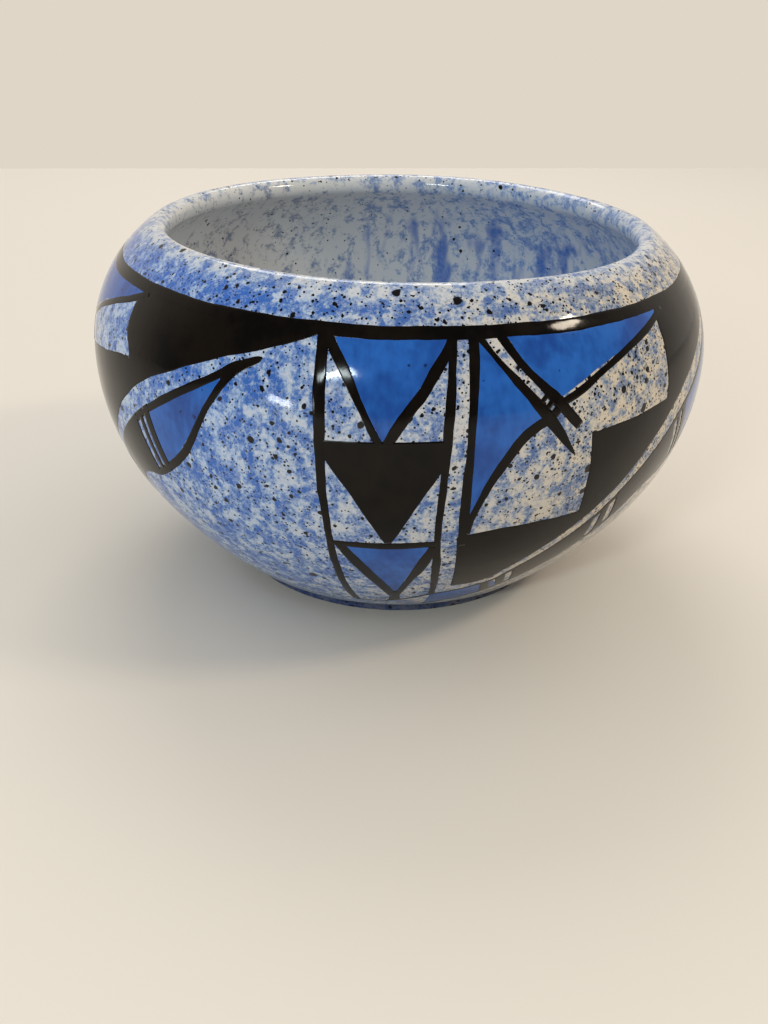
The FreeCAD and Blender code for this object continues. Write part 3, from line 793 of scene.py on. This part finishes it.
    def outline(self, path, side):
        """A band along one side of a path, which widens from the foot and closes at the tip."""
        settings = self.settings
        count = self.stations(path)
        path = self.spread(path, count)
        reach = self.reach(path)
        width = np.interp(reach, (0, reach[-1] / 3), (settings.foot_outline, settings.tip_outline))
        width = width * np.sqrt(np.clip((reach[-1] - reach) / (2 * settings.tip_outline), 0.02, 1))
        inner = self.moved_aside(path, side * (width + self.stray(count) / 2))
        self.shell(self.moved_aside(path, side * self.stray(count)), inner)

    def part(self, path, start, end):
        """The stretch of a path between two bearings."""
        bearing = np.linspace(start, end, 60)
        return np.stack((bearing, np.interp(bearing, path[:, 0], path[:, 1])), axis=1)

    def make(self, slot):
        """All that the brush has laid, as one piece that stands for the brush's node."""
        name = self.node + "_paint"
        points = self.wall.swayed(np.concatenate(self.points))
        mesh = mesh_of(name, points, np.concatenate(self.quads))
        add_piece(self.context, name, self.node, slot, mesh)


def add_node(tree, kind, inputs=None, **settings):
    """A shader node with its settings and its inputs, each a value or another node's output."""
    node = tree.nodes.new(kind)
    for name, value in settings.items():
        setattr(node, name, value)
    for name, value in (inputs or {}).items():
        if isinstance(value, bpy.types.NodeSocket):
            tree.links.new(value, node.inputs[name])
        else:
            node.inputs[name].default_value = value
    return node


def calculate(tree, operation, first, second=0.0, third=0.0):
    """The result of a Math node."""
    inputs = {0: first, 1: second, 2: third}
    return add_node(tree, "ShaderNodeMath", inputs, operation=operation).outputs[0]


def product(tree, first, *others):
    """All the values multiplied together."""
    for value in others:
        first = calculate(tree, "MULTIPLY", first, value)
    return first


def weighed(tree, *parts, start=0.0):
    """The start plus each part's value times its weight."""
    for value, weight in parts:
        start = calculate(tree, "MULTIPLY_ADD", value, weight, start)
    return start


def blend(tree, factor, first, second):
    """The colour between two, by a factor."""
    inputs = {0: factor}
    for socket, colour in ((6, first), (7, second)):
        inputs[socket] = colour if isinstance(colour, bpy.types.NodeSocket) else (*colour, 1.0)
    return add_node(tree, "ShaderNodeMix", inputs, data_type="RGBA").outputs[2]


def blend_value(tree, factor, first, second):
    """The value between two, by a factor."""
    return add_node(tree, "ShaderNodeMix", {0: factor, 2: first, 3: second}).outputs[0]


def stretched(tree, value, low, high, to_low=0.0, to_high=1.0):
    """The value eased from low to high."""
    inputs = {"Value": value, "From Min": low, "From Max": high}
    inputs.update({"To Min": to_low, "To Max": to_high})
    node = add_node(tree, "ShaderNodeMapRange", inputs, interpolation_type="SMOOTHSTEP")
    return node.outputs["Result"]


def noise(tree, vector, scale, detail=2.0, roughness=0.5, distortion=0.0):
    """Cloudy noise with that many features to the metre."""
    inputs = {
        "Vector": vector, "Scale": scale, "Detail": detail,
        "Roughness": roughness, "Distortion": distortion,
    }
    return add_node(tree, "ShaderNodeTexNoise", inputs).outputs["Fac"]


def scaled(tree, vector, scale):
    """The vector stretched along each axis."""
    return add_node(tree, "ShaderNodeMapping", {"Vector": vector, "Scale": scale}).outputs["Vector"]


def on_object(tree):
    """Places on the piece itself, so that a pattern stays on it when it moves."""
    return add_node(tree, "ShaderNodeTexCoord").outputs["Object"]


def shared_effect(tree, name, build, output, inputs):
    """The output of a node group that materials share, built on its first use.

    The output is a name and a kind of socket, and the inputs are names, kinds and values.
    """
    group = bpy.data.node_groups.get(name)
    if group is None:
        group = bpy.data.node_groups.new(name, "ShaderNodeTree")
        for socket, kind, _ in inputs:
            group.interface.new_socket(socket, in_out="INPUT", socket_type=kind)
        group.interface.new_socket(output[0], in_out="OUTPUT", socket_type=output[1])
        given = group.nodes.new("NodeGroupInput").outputs
        result = group.nodes.new("NodeGroupOutput").inputs
        group.links.new(build(group, given), result[output[0]])
    values = {socket: value for socket, _, value in inputs}
    return add_node(tree, "ShaderNodeGroup", values, node_tree=group).outputs[output[0]]


def build_specks(group, given):
    """Voronoi cells' middles within a radius of their own, a share left out, a little ragged."""
    inputs = {"Vector": given["Vector"], "Detail": 2.0}
    inputs["Scale"] = calculate(group, "MULTIPLY", given["Cells"], 2.2)
    ragged = add_node(group, "ShaderNodeTexNoise", inputs)
    centred = add_node(
        group, "ShaderNodeVectorMath", {0: ragged.outputs["Color"], 1: (0.5, 0.5, 0.5)},
        operation="SUBTRACT",
    )
    reach = calculate(group, "DIVIDE", 0.32, given["Cells"])
    shift = add_node(
        group, "ShaderNodeVectorMath", {0: centred.outputs[0], "Scale": reach}, operation="SCALE"
    )
    moved = add_node(
        group, "ShaderNodeVectorMath", {0: given["Vector"], 1: shift.outputs[0]}, operation="ADD"
    )
    cells = add_node(
        group, "ShaderNodeTexVoronoi",
        {"Vector": moved.outputs[0], "Scale": given["Cells"], "Randomness": 0.9},
    )
    chance = add_node(group, "ShaderNodeSeparateColor", {"Color": cells.outputs["Color"]})
    sized = calculate(group, "POWER", chance.outputs[0], 1.8)
    span = calculate(group, "SUBTRACT", given["Greatest"], given["Least"])
    radius = calculate(group, "MULTIPLY_ADD", sized, span, given["Least"])
    within = calculate(group, "SUBTRACT", radius, cells.outputs["Distance"])
    present = calculate(group, "LESS_THAN", chance.outputs[1], given["Share"])
    return product(group, stretched(group, within, -0.02, 0.02), present)


def speck_mask(tree, at, cells, least, greatest, share):
    """Round specks of random size, so many cells to the metre, in a share of the cells."""
    inputs = [("Vector", "NodeSocketVector", at)]
    values = {"Cells": cells, "Least": least, "Greatest": greatest, "Share": share}
    inputs += [(name, "NodeSocketFloat", value) for name, value in values.items()]
    return shared_effect(tree, "Glaze Specks", build_specks, ("Mask", "NodeSocketFloat"), inputs)


def build_ripple(group, given):
    """Two sizes of noise and the given relief, as one bump."""
    wide = noise(group, given["Vector"], RIPPLES, 1.0)
    fine = noise(group, given["Vector"], FINE_RIPPLES, 2.0)
    height = calculate(group, "ADD", weighed(group, (fine, 0.12), start=wide), given["Relief"])
    inputs = {"Height": height, "Strength": given["Strength"], "Distance": MM}
    return add_node(group, "ShaderNodeBump", inputs).outputs["Normal"]


def ripple(tree, at, relief, strength):
    """The faint waviness of a fired glaze, and what stands out of it, as a normal."""
    inputs = (
        ("Vector", "NodeSocketVector", at),
        ("Relief", "NodeSocketFloat", relief),
        ("Strength", "NodeSocketFloat", strength),
    )
    return shared_effect(tree, "Glaze Ripple", build_ripple, ("Normal", "NodeSocketVector"), inputs)


def build_mottle(group, given):
    """Soft pools and short upright brush marks, as one value round 0.5."""
    pools = noise(group, given["Vector"], POOLS, 3.0, 0.55)
    marks = noise(group, scaled(group, given["Vector"], (1.0, 1.0, 0.35)), BRUSH_MARKS, 2.0, 0.5)
    return stretched(group, weighed(group, (marks, 0.35), start=pools), 0.48, 0.88)


def mottle(tree, at):
    """How thin brushed paint is, from 0 where it pooled to 1."""
    inputs = (("Vector", "NodeSocketVector", at),)
    return shared_effect(tree, "Brushed Mottle", build_mottle, ("Value", "NodeSocketFloat"), inputs)


def new_material(name):
    """A material with its Principled shader."""
    material = bpy.data.materials.new(name)
    material.use_nodes = True
    return material, material.node_tree, material.node_tree.nodes["Principled BSDF"]


def finish(tree, shader, colour, roughness, normal, specular):
    """Gives the shader a colour, roughness and normal that change, and one specular level."""
    for name, value in (("Base Color", colour), ("Roughness", roughness), ("Normal", normal)):
        tree.links.new(value, shader.inputs[name])
    shader.inputs["Specular IOR Level"].default_value = specular


class GlazePattern:
    """What the glaze's effects go by on the bowl, and how strong each effect is."""

    def __init__(self, tree, sizes):
        self.tree = tree
        self.sizes = sizes
        self.at = on_object(tree)
        self.height = add_node(tree, "ShaderNodeSeparateXYZ", {"Vector": self.at}).outputs["Z"]
        self.flow = self.carried("flow", "Vector")
        self.inside = self.carried("inside")
        self.bare_clay = self.carried("bare_clay")
        self.blue_side = self.carried("blue_side")

    def carried(self, name, output="Fac"):
        """What the bowl's mesh carries at each point."""
        return add_node(self.tree, "ShaderNodeAttribute", attribute_name=name).outputs[output]

    def tone(self):
        """How blue the glaze is, from 0 to 1: soft washes, sponged blotches and fine grain.

        It is a little bluer on the outside of the lip, partly the glaze and partly painted cool
        skylight on the top, and paler inside the bowl.
        """
        tree = self.tree
        wash = noise(tree, self.flow, WASHES, 2.0, 0.5, 0.3)
        blotch = noise(tree, self.flow, BLOTCHES, 2.0, 0.5, 0.4)
        grain = noise(tree, self.at, GRAIN, 3.0, 0.7)
        tone = weighed(tree, (blotch, 0.85), (wash, 0.32), (grain, 0.65), (self.blue_side, 0.08))
        bluest = calculate(tree, "POWER", self.blue_side, 4.0)
        # Bluer on the lip: partly the glaze, partly painted cool skylight from above.
        crest = self.sizes.rim_height
        on_lip = stretched(tree, self.height, crest - 8.7 * MM, crest - 3.7 * MM)
        lip = product(tree, weighed(tree, (bluest, 0.09), start=0.018), on_lip)
        tone = calculate(tree, "ADD", tone, blend_value(tree, self.inside, lip, -0.11))
        return stretched(tree, tone, 0.66, 1.24)

    def threads(self):
        """Faint pale threads where the glaze ran apart: a noise near its middle value."""
        tree = self.tree
        off_middle = calculate(tree, "SUBTRACT", noise(tree, self.flow, THREADS, 4.0, 0.7), 0.5)
        return stretched(tree, calculate(tree, "ABSOLUTE", off_middle), 0.0, 0.05, 0.34, 0.0)

    def painted_foot_shade(self):
        """Painted shade: darker blue round the outside of the foot, under the bowl."""
        tree = self.tree
        flat = scaled(tree, self.at, (1.0, 1.0, 0.0))
        length = add_node(tree, "ShaderNodeVectorMath", {0: flat}, operation="LENGTH")
        foot, edge = self.sizes.foot_depth, self.sizes.foot_radius
        low = stretched(tree, self.height, foot + 0.2 * MM, foot + 2.7 * MM, 0.85, 0.0)
        outer = stretched(tree, length.outputs["Value"], edge - 0.7 * MM, edge - 0.2 * MM)
        return product(tree, low, outer)

    def runs(self):
        """Cobalt runs down the inside of the wall, below the lip and on its bluer side."""
        tree = self.tree
        tall = noise(tree, scaled(tree, self.flow, (1.0, 1.0, 0.36)), RUNS, 2.0, 0.5, 0.2)
        crest = self.sizes.rim_height
        below = stretched(tree, self.height, crest - 13.7 * MM, crest - 5.7 * MM, 1.0, 0.0)
        bluer = stretched(tree, self.blue_side, 0.1, 0.6)
        return product(tree, stretched(tree, tall, 0.51, 0.7, 0.0, 0.8), self.inside, bluer, below)

    def specks(self):
        """Dark specks of four sizes and fine dust, thickest on the less blue side, few inside."""
        tree = self.tree
        crowd = product(
            tree,
            stretched(tree, noise(tree, self.at, CROWDS, 2.0), 0.35, 0.65, 0.6, 0.95),
            weighed(tree, (self.blue_side, -0.52), start=1.25),
            weighed(tree, (self.inside, -0.93), start=1.0),
        )
        mask = 0.0
        for cells, least, greatest, share in SPECK_LAYERS:
            layer = speck_mask(tree, self.at, cells, least, greatest, product(tree, crowd, share))
            mask = calculate(tree, "MAXIMUM", mask, layer)
        dust = stretched(tree, noise(tree, self.at, DUST, 2.0, 0.6), 0.56, 0.66, 0.0, 0.6)
        dust = product(tree, dust, crowd, blend_value(tree, self.blue_side, 1.0, 0.3))
        return calculate(tree, "MAXIMUM", mask, dust)


def glaze_material(scene):
    """Cream glaze sponged with blues and peppered with dark specks."""
    colours = scene.glaze_colours
    material, tree, shader = new_material("speckled_blue_glaze")
    glaze = GlazePattern(tree, scene.bowl_sizes)
    blue_side = glaze.blue_side
    # On the less blue side the warmer cream and greys are partly painted warm light from the right.
    cream = blend(tree, blue_side, colours.warm_cream, colours.cream)
    inner = product(tree, glaze.inside, weighed(tree, (blue_side, -0.4), start=1.0))
    cream = blend(tree, inner, cream, colours.inner_cream)
    pale = blend(tree, blue_side, colours.pale_grey, colours.pale_blue)
    middle = blend(tree, blue_side, colours.grey_blue, colours.mid_blue)
    deep = blend(tree, blue_side, colours.deep_grey, colours.deep_blue)
    tone = glaze.tone()
    colour = cream
    for (begins, full), wash in zip(TONES, (pale, middle, deep)):
        colour = blend(tree, stretched(tree, tone, begins, full), colour, wash)
    specks = glaze.specks()
    for share, over in (
        (glaze.threads(), cream),
        (product(tree, glaze.inside, 0.32), pale),
        # Painted shade round the outside of the foot.
        (glaze.painted_foot_shade(), colours.foot_shade_blue),
        (glaze.runs(), colours.deep_blue),
        (specks, colours.speck),
        (glaze.bare_clay, colours.clay),
    ):
        colour = blend(tree, share, colour, over)
    shine = stretched(tree, noise(tree, glaze.at, SHINE, 2.0), 0.3, 0.7, 0.05, 0.11)
    rough = calculate(tree, "MAXIMUM", shine, product(tree, glaze.bare_clay, 0.75))
    normal = ripple(tree, glaze.at, product(tree, specks, 0.03), 0.10)
    finish(tree, shader, colour, rough, normal, 0.38)
    return material


def brushed_material(name, pooled, thin, roughness, waviness, specular, speck=None):
    """Glossy brushwork, of one colour where the paint pooled and of another where it is thin."""
    material, tree, shader = new_material(name)
    at = on_object(tree)
    thinness = mottle(tree, at)
    colour = blend(tree, thinness, pooled, thin)
    if speck is not None:
        mask = speck_mask(tree, at, *PAINT_SPECKS)
        colour = blend(tree, product(tree, mask, 0.7), colour, speck)
    rough = stretched(tree, thinness, 0.0, 1.0, *roughness)
    normal = ripple(tree, at, product(tree, thinness, 0.05), waviness)
    finish(tree, shader, colour, rough, normal, specular)
    return material


def black_material(scene):
    """Glossy black brushwork, a little brown where it is thin."""
    colours = scene.glaze_colours
    pooled, thin = colours.black, colours.brown_black
    return brushed_material("brushed_black", pooled, thin, (0.07, 0.13), 0.08, 0.18)


def cobalt_material(scene):
    """Glossy cobalt brushwork with soft pools and a few dark specks."""
    colours = scene.glaze_colours
    pooled, thin = colours.dark_cobalt, colours.cobalt
    return brushed_material(
        "brushed_cobalt", pooled, thin, (0.06, 0.11), 0.07, 0.35, colours.speck
    )


# Each slot's material, and what makes it.
FINISHES = {
    "speckled_glaze": ("speckled_blue_glaze", glaze_material),
    "black_paint": ("brushed_black", black_material),
    "cobalt_paint": ("brushed_cobalt", cobalt_material),
}


def add_piece(context, name, node, slot, mesh):
    """The mesh as a piece that rides on the bowl and stands for its CAD node.

    The slot's material is made on its first use.
    """
    material, maker = FINISHES[slot]
    mesh.materials.append(bpy.data.materials.get(material) or maker(context.scene))
    piece = bpy.data.objects.new(name, mesh)
    context.scene.collection.objects.link(piece)
    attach(piece, "root")
    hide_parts(node)


class POTTERY_OT_shape_bowl(bpy.types.Operator):
    """Turns the glazed clay: the outline carried round the axis"""

    bl_idname = "pottery.shape_bowl"
    bl_label = "Shape the Bowl"

    def execute(self, context):
        """A point is (radius sin b, -radius cos b, height): an outline row at bearing b."""
        sizes = context.scene.bowl_sizes
        wall = Wall(sizes)
        outline = wall.outline()
        ring = outline[1:-1]
        columns = sizes.columns
        bearing = np.linspace(0, 2 * math.pi, columns, endpoint=False)
        radius = np.repeat(ring[:, :1], columns, axis=1)
        height = np.repeat(ring[:, 1:], columns, axis=1)
        grid = np.stack((radius * np.sin(bearing), -radius * np.cos(bearing), height), axis=-1)
        poles = np.array(((0, 0, outline[0, 1]), (0, 0, outline[-1, 1])))
        points = np.concatenate((grid.reshape(-1, 3), poles))
        index = np.arange(len(ring) * columns).reshape(len(ring), columns)
        beside = np.roll(index, -1, axis=1)
        quads = np.stack((index[:-1], beside[:-1], beside[1:], index[1:]), axis=-1).reshape(-1, 4)
        under = np.full(columns, len(points) - 2)
        middle = np.full(columns, len(points) - 1)
        fans = np.concatenate((
            np.stack((beside[0], index[0], under), axis=1),
            np.stack((index[-1], beside[-1], middle), axis=1),
        ))
        mesh = mesh_of("glazed_bowl", wall.swayed(points), quads, fans)
        self.mask_attributes(mesh, sizes, outline)
        add_piece(context, "glazed_bowl", "bowl_body", "speckled_glaze", mesh)
        return {"FINISHED"}

    def mask_attributes(self, mesh, sizes, outline):
        """Carries what the glaze goes by: its inside, bare clay, bluer side and flow.

        The bluer side is the left one outside and the right one inside, and fades near the
        axis; the warmer, greyer other side is partly the glaze and partly painted warm light.
        The flow is where a point would lie if the wall were rolled out straight, squeezed
        lengthwise, so that a pattern in it runs down the wall.
        """
        crest = int(outline[:, 1].argmax())
        past = lengths_of(outline)
        inside = np.clip((past - past[crest]) / (2 * sizes.wall) + 0.5, 0, 1)
        from_ring = np.abs(outline[:, 0] - sizes.foot_radius + sizes.foot_ring / 2)
        bare = np.clip((sizes.foot_ring * BARE_SHARE - from_ring) / sizes.edge_step, 0, 1)
        bare *= outline[:, 1] < sizes.foot_recess / 4
        bearing = np.linspace(0, 2 * math.pi, sizes.columns, endpoint=False)
        off_axis = np.clip(outline[:, :1] / sizes.foot_radius, 0, 1)
        side = np.clip(0.5 + BLUE_EDGE * off_axis * np.cos(bearing - BLUE_BEARING), 0, 1)
        ones = np.ones(sizes.columns)
        for name, grid in (
            ("inside", np.outer(inside, ones)),
            ("bare_clay", np.outer(bare, ones)),
            ("blue_side", side + inside[:, None] * (1 - 2 * side)),
        ):
            values = np.concatenate((grid[1:-1].ravel(), grid[[0, -1]].mean(axis=1)))
            attribute = mesh.attributes.new(name, "FLOAT", "POINT")
            attribute.data.foreach_set("value", values.astype(np.float32))
        across = np.minimum(outline[:, 0] * FLOW_SPREAD, sizes.belly_radius)
        rolled = np.stack((
            np.outer(across, np.sin(bearing)),
            -np.outer(across, np.cos(bearing)),
            np.outer(past * FLOW_SQUEEZE, ones),
        ), axis=-1)
        flow = np.concatenate((rolled[1:-1].reshape(-1, 3), rolled[[0, -1], 0]))
        attribute = mesh.attributes.new("flow", "FLOAT_VECTOR", "POINT")
        attribute.data.foreach_set("vector", flow.astype(np.float32).ravel())


def lay_paint(context, node, slot, fields=(), strokes=()):
    """One node's fields and strokes, laid in each motif."""
    brush = Brush(context, node)
    for _ in brush.motifs():
        for pairs in fields:
            brush.field(pairs)
        for places in strokes:
            brush.stroke(places)
    brush.make(slot)


class POTTERY_OT_paint_rim_line(bpy.types.Operator):
    """Paints the line that runs all round under the lip"""

    bl_idname = "pottery.paint_rim_line"
    bl_label = "Paint the Rim Line"

    def execute(self, context):
        brush = Brush(context, "rim_line")
        edges = []
        for height in (LINE_LOW[2], LINE_HIGH[2]):
            whole = brush.wall.on_paper(((-180, height / MM), (180, height / MM)))
            count = math.ceil(2 * math.pi * LINE_HIGH[0] / brush.settings.step)
            path = brush.spread(whole, count + 1)[:-1]
            path[:, 1] += brush.stray(count, closed=True)
            edges.append(path)
        brush.shell(*edges, closed=True)
        brush.make("black_paint")
        return {"FINISHED"}


class POTTERY_OT_paint_panel(bpy.types.Operator):
    """Paints the framed panels: lines, black triangle, and two blue triangles in black arms"""

    bl_idname = "pottery.paint_panel"
    bl_label = "Paint the Panels"

    def execute(self, context):
        for node, fields, strokes in (
            ("panel_frame_lines", (), (LEFT_UPRIGHT, RIGHT_UPRIGHT, CROSSBAR)),
            ("foot_line", (), (FOOT_LINE,)),
            ("panel_chevron", (CHEVRON_LEFT, CHEVRON_RIGHT), ()),
            ("panel_black_triangle", (BLACK_TRIANGLE,), ()),
            ("panel_pendant_outline", (PENDANT_LEFT, PENDANT_RIGHT), (PENDANT_STEM,)),
        ):
            lay_paint(context, node, "black_paint", fields, strokes)
        lay_paint(context, "panel_blue_triangle", "cobalt_paint", (BLUE_TRIANGLE,))
        lay_paint(context, "panel_blue_pendant", "cobalt_paint", (PENDANT_BLUE,))
        return {"FINISHED"}


class POTTERY_OT_paint_feather(bpy.types.Operator):
    """Paints the crossed feathers beside the panels"""

    bl_idname = "pottery.paint_feather"
    bl_label = "Paint the Feathers"

    def execute(self, context):
        for node, strokes in (
            ("feather_upright", (THICK_UPRIGHT,)),
            ("feather_shafts", (LONG_SHAFT, SHORT_SHAFT, *QUILL_BARS)),
            ("feather_edges", (UPPER_EDGE, LOWER_EDGE)),
        ):
            lay_paint(context, node, "black_paint", strokes=strokes)
        lay_paint(context, "feather_blue_fields", "cobalt_paint", (LONG_BLUE, UPPER_BLUE))
        return {"FINISHED"}


class POTTERY_OT_paint_wing_and_leaf(bpy.types.Operator):
    """Paints the stepped wings and the long striped leaves under them"""

    bl_idname = "pottery.paint_wing_and_leaf"
    bl_label = "Paint the Wings and Leaves"

    def execute(self, context):
        self.paint_wings(context)
        self.paint_leaves(context)
        lay_paint(context, "leaf_blue_fields", "cobalt_paint", (LEAF_TIP_BLUE, LEAF_FOOT_BLUE))
        return {"FINISHED"}

    def paint_wings(self, context):
        """Each wing, from its foot up over the step to the rim line."""
        brush = Brush(context, "stepped_wing")
        for number in brush.motifs():
            inner, outer = STEP_CORNERS[number]
            sides = (
                WING_FOOT, (WING_FOOT[-1], WING_STEP, inner), (inner, outer), (outer, *WING_TOP),
            )
            sweep = brush.smooth(WING_SWEEP)
            stops = zip(WING_STOPS[:-1], WING_STOPS[1:])
            brush.between([
                (brush.smooth(side), brush.part(sweep, *ends)) for side, ends in zip(sides, stops)
            ])
        brush.make("black_paint")

    def paint_leaves(self, context):
        """Each leaf: the black between its stripes, then its outline."""
        brush = Brush(context, "leaf_band")
        for _ in brush.motifs():
            upper = brush.smooth(LEAF_UPPER)
            lower = brush.smooth(LEAF_LOWER)
            for above, below in LEAF_BLACKS:
                brush.between([(brush.part(upper, *above), brush.part(lower, *below))])
            brush.outline(upper, -1)
            brush.outline(lower, 1)
        brush.make("black_paint")


# Where the sky is brightest, and its colour.
BRIGHT_SIDE = (0.1, 0.4, 0.75)
SKY_COLOUR = (1.0, 0.99, 0.97)

# Lamps: name, direction from the bowl, distance, size, lean (radians) and colour.
LAMPS = (
    ("window_lamp", (-0.353, -0.847, 0.43), 0.75, (0.17, 0.055), 0.55, (0.84, 0.97, 1.0)),
    ("low_lamp", (-0.63, -0.77, 0.07), 0.75, (0.12, 0.055), -0.35, (0.97, 1.0, 0.97)),
    ("back_lamp", (-0.12, 0.66, 0.74), 0.9, (0.5, 0.35), 0.0, (1.0, 0.98, 0.95)),
    ("side_lamp", (0.80, -0.17, 0.73), 0.75, (0.13, 0.07), 0.0, (1.0, 0.86, 0.68)),
)


class POTTERY_OT_set_stage(bpy.types.Operator):
    """Sets the pale floor, the soft lamps and the camera"""

    bl_idname = "pottery.set_stage"
    bl_label = "Set the Stage"

    def execute(self, context):
        scene = context.scene
        stage = scene.stage_settings
        self.lay_floor(scene, stage)
        self.light_world(scene, stage)
        powers = (stage.window, stage.low, stage.back, stage.side)
        for lamp, power in zip(LAMPS, powers):
            self.hang_lamp(scene, *lamp, power)
        self.place_camera(scene, stage)
        scene.view_settings.view_transform = "Standard"
        return {"FINISHED"}

    def lay_floor(self, scene, stage):
        """A plain sheet at the height of the resting ring; its back edge has a slight slant."""
        half = stage.floor_size / 2
        left, right = (stage.floor_depth + share * half * stage.floor_slant for share in (-1, 1))
        points = np.array(((-half, -half, 0), (half, -half, 0), (half, right, 0), (-half, left, 0)))
        mesh = mesh_of("floor", points, np.array(((0, 1, 2, 3),)))
        floor = bpy.data.objects.new("floor", mesh)
        material, _, shader = new_material("plain_floor")
        shader.inputs["Base Color"].default_value = (*stage.floor_colour, 1.0)
        shader.inputs["Roughness"].default_value = 0.7
        shader.inputs["Specular IOR Level"].default_value = 0.2
        mesh.materials.append(material)
        scene.collection.objects.link(floor)

    def light_world(self, scene, stage):
        """A sky that brightens behind and above the bowl.

        The camera, gloss and clear pieces see a plain backdrop in its place.
        """
        world = bpy.data.worlds.new("studio")
        world.use_nodes = True
        tree = world.node_tree
        tree.nodes.clear()
        direction = add_node(tree, "ShaderNodeTexCoord").outputs["Generated"]
        toward = add_node(
            tree, "ShaderNodeVectorMath", {0: direction, 1: BRIGHT_SIDE}, operation="DOT_PRODUCT"
        )
        dim, bright = stage.dim_side, stage.bright_side
        strength = stretched(tree, toward.outputs["Value"], -0.35, 0.75, dim, bright)
        light = self.sky(tree, SKY_COLOUR, strength)
        path = add_node(tree, "ShaderNodeLightPath").outputs
        depth = add_node(tree, "ShaderNodeSeparateXYZ", {"Vector": direction}).outputs["Y"]
        shown = path["Is Camera Ray"]
        behind = stretched(tree, depth, -0.2, 0.5, dim, 1.0)
        behind = calculate(tree, "MAXIMUM", shown, behind)
        seen = self.sky(tree, stage.backdrop_colour, behind)
        for kind in ("Is Glossy Ray", "Is Transmission Ray"):
            shown = calculate(tree, "MAXIMUM", shown, path[kind])
        mixed = add_node(tree, "ShaderNodeMixShader", {0: shown, 1: light, 2: seen})
        add_node(tree, "ShaderNodeOutputWorld", {"Surface": mixed.outputs[0]})
        scene.world = world

    def sky(self, tree, colour, strength):
        """A background of that colour and strength."""
        inputs = {"Color": (*colour, 1.0), "Strength": strength}
        return add_node(tree, "ShaderNodeBackground", inputs).outputs[0]

    def hang_lamp(self, scene, name, direction, distance, size, lean, colour, power):
        """A soft rectangular lamp that faces the bowl from that direction, leaning by an angle."""
        light = bpy.data.lights.new(name, "AREA")
        light.shape = "RECTANGLE"
        light.size, light.size_y = size
        light.energy = power
        light.color = colour
        lamp = bpy.data.objects.new(name, light)
        aim = Vector((0, 0, BOWL_HIGH[2] / 2))
        away = Vector(direction).normalized()
        turned = away.to_track_quat("Z", "Y").to_matrix().to_4x4() @ Matrix.Rotation(lean, 4, "Z")
        lamp.matrix_world = Matrix.Translation(aim + away * distance) @ turned
        scene.collection.objects.link(lamp)

    def place_camera(self, scene, stage):
        """A camera that looks along +Y, down by the pitch, and leans by the roll."""
        data = bpy.data.cameras.new("camera")
        data.lens = stage.lens
        data.clip_start = stage.floor_size / 600
        camera = bpy.data.objects.new("camera", data)
        down, lean = stage.pitch, stage.roll
        ahead = Vector((0, math.cos(down), -math.sin(down)))
        above = Vector((0, math.sin(down), math.cos(down)))
        right = Vector((1, 0, 0))
        across = math.cos(lean) * right + math.sin(lean) * above
        upward = math.cos(lean) * above - math.sin(lean) * right
        turned = Matrix((across, upward, -ahead)).transposed().to_4x4()
        camera.matrix_world = Matrix.Translation(stage.place) @ turned
        scene.collection.objects.link(camera)
        scene.camera = camera


class POTTERY_PT_bowl(bpy.types.Panel):
    """Lists the bowl's steps and sizes in the sidebar"""

    bl_idname = "POTTERY_PT_bowl"
    bl_label = "Painted Pottery Bowl"
    bl_space_type = "VIEW_3D"
    bl_region_type = "UI"
    bl_category = "Pottery"

    def draw(self, context):
        for operator in OPERATORS:
            self.layout.operator(operator.bl_idname)
        for name, settings in SETTINGS:
            box = self.layout.box()
            box.label(text=settings.__doc__)
            for prop in settings.__annotations__:
                box.prop(getattr(context.scene, name), prop)


OPERATORS = (
    POTTERY_OT_shape_bowl,
    POTTERY_OT_paint_rim_line,
    POTTERY_OT_paint_panel,
    POTTERY_OT_paint_feather,
    POTTERY_OT_paint_wing_and_leaf,
    POTTERY_OT_set_stage,
)
SETTINGS = (
    ("bowl_sizes", BowlSizes),
    ("brush_settings", BrushSettings),
    ("glaze_colours", GlazeColours),
    ("stage_settings", StageSettings),
)


def register():
    """Registers the settings, the operators and the panel."""
    for name, settings in SETTINGS:
        bpy.utils.register_class(settings)
        setattr(bpy.types.Scene, name, PointerProperty(type=settings))
    for item in (*OPERATORS, POTTERY_PT_bowl):
        bpy.utils.register_class(item)


def unregister():
    """Takes all of that out again."""
    for item in (POTTERY_PT_bowl, *reversed(OPERATORS)):
        bpy.utils.unregister_class(item)
    for name, settings in reversed(SETTINGS):
        delattr(bpy.types.Scene, name)
        bpy.utils.unregister_class(settings)


def main():
    """Makes the whole scene."""
    register()
    bpy.ops.pottery.shape_bowl()
    bpy.ops.pottery.paint_rim_line()
    bpy.ops.pottery.paint_panel()
    bpy.ops.pottery.paint_feather()
    bpy.ops.pottery.paint_wing_and_leaf()
    bpy.ops.pottery.set_stage()


if __name__ == "__main__":
    main()
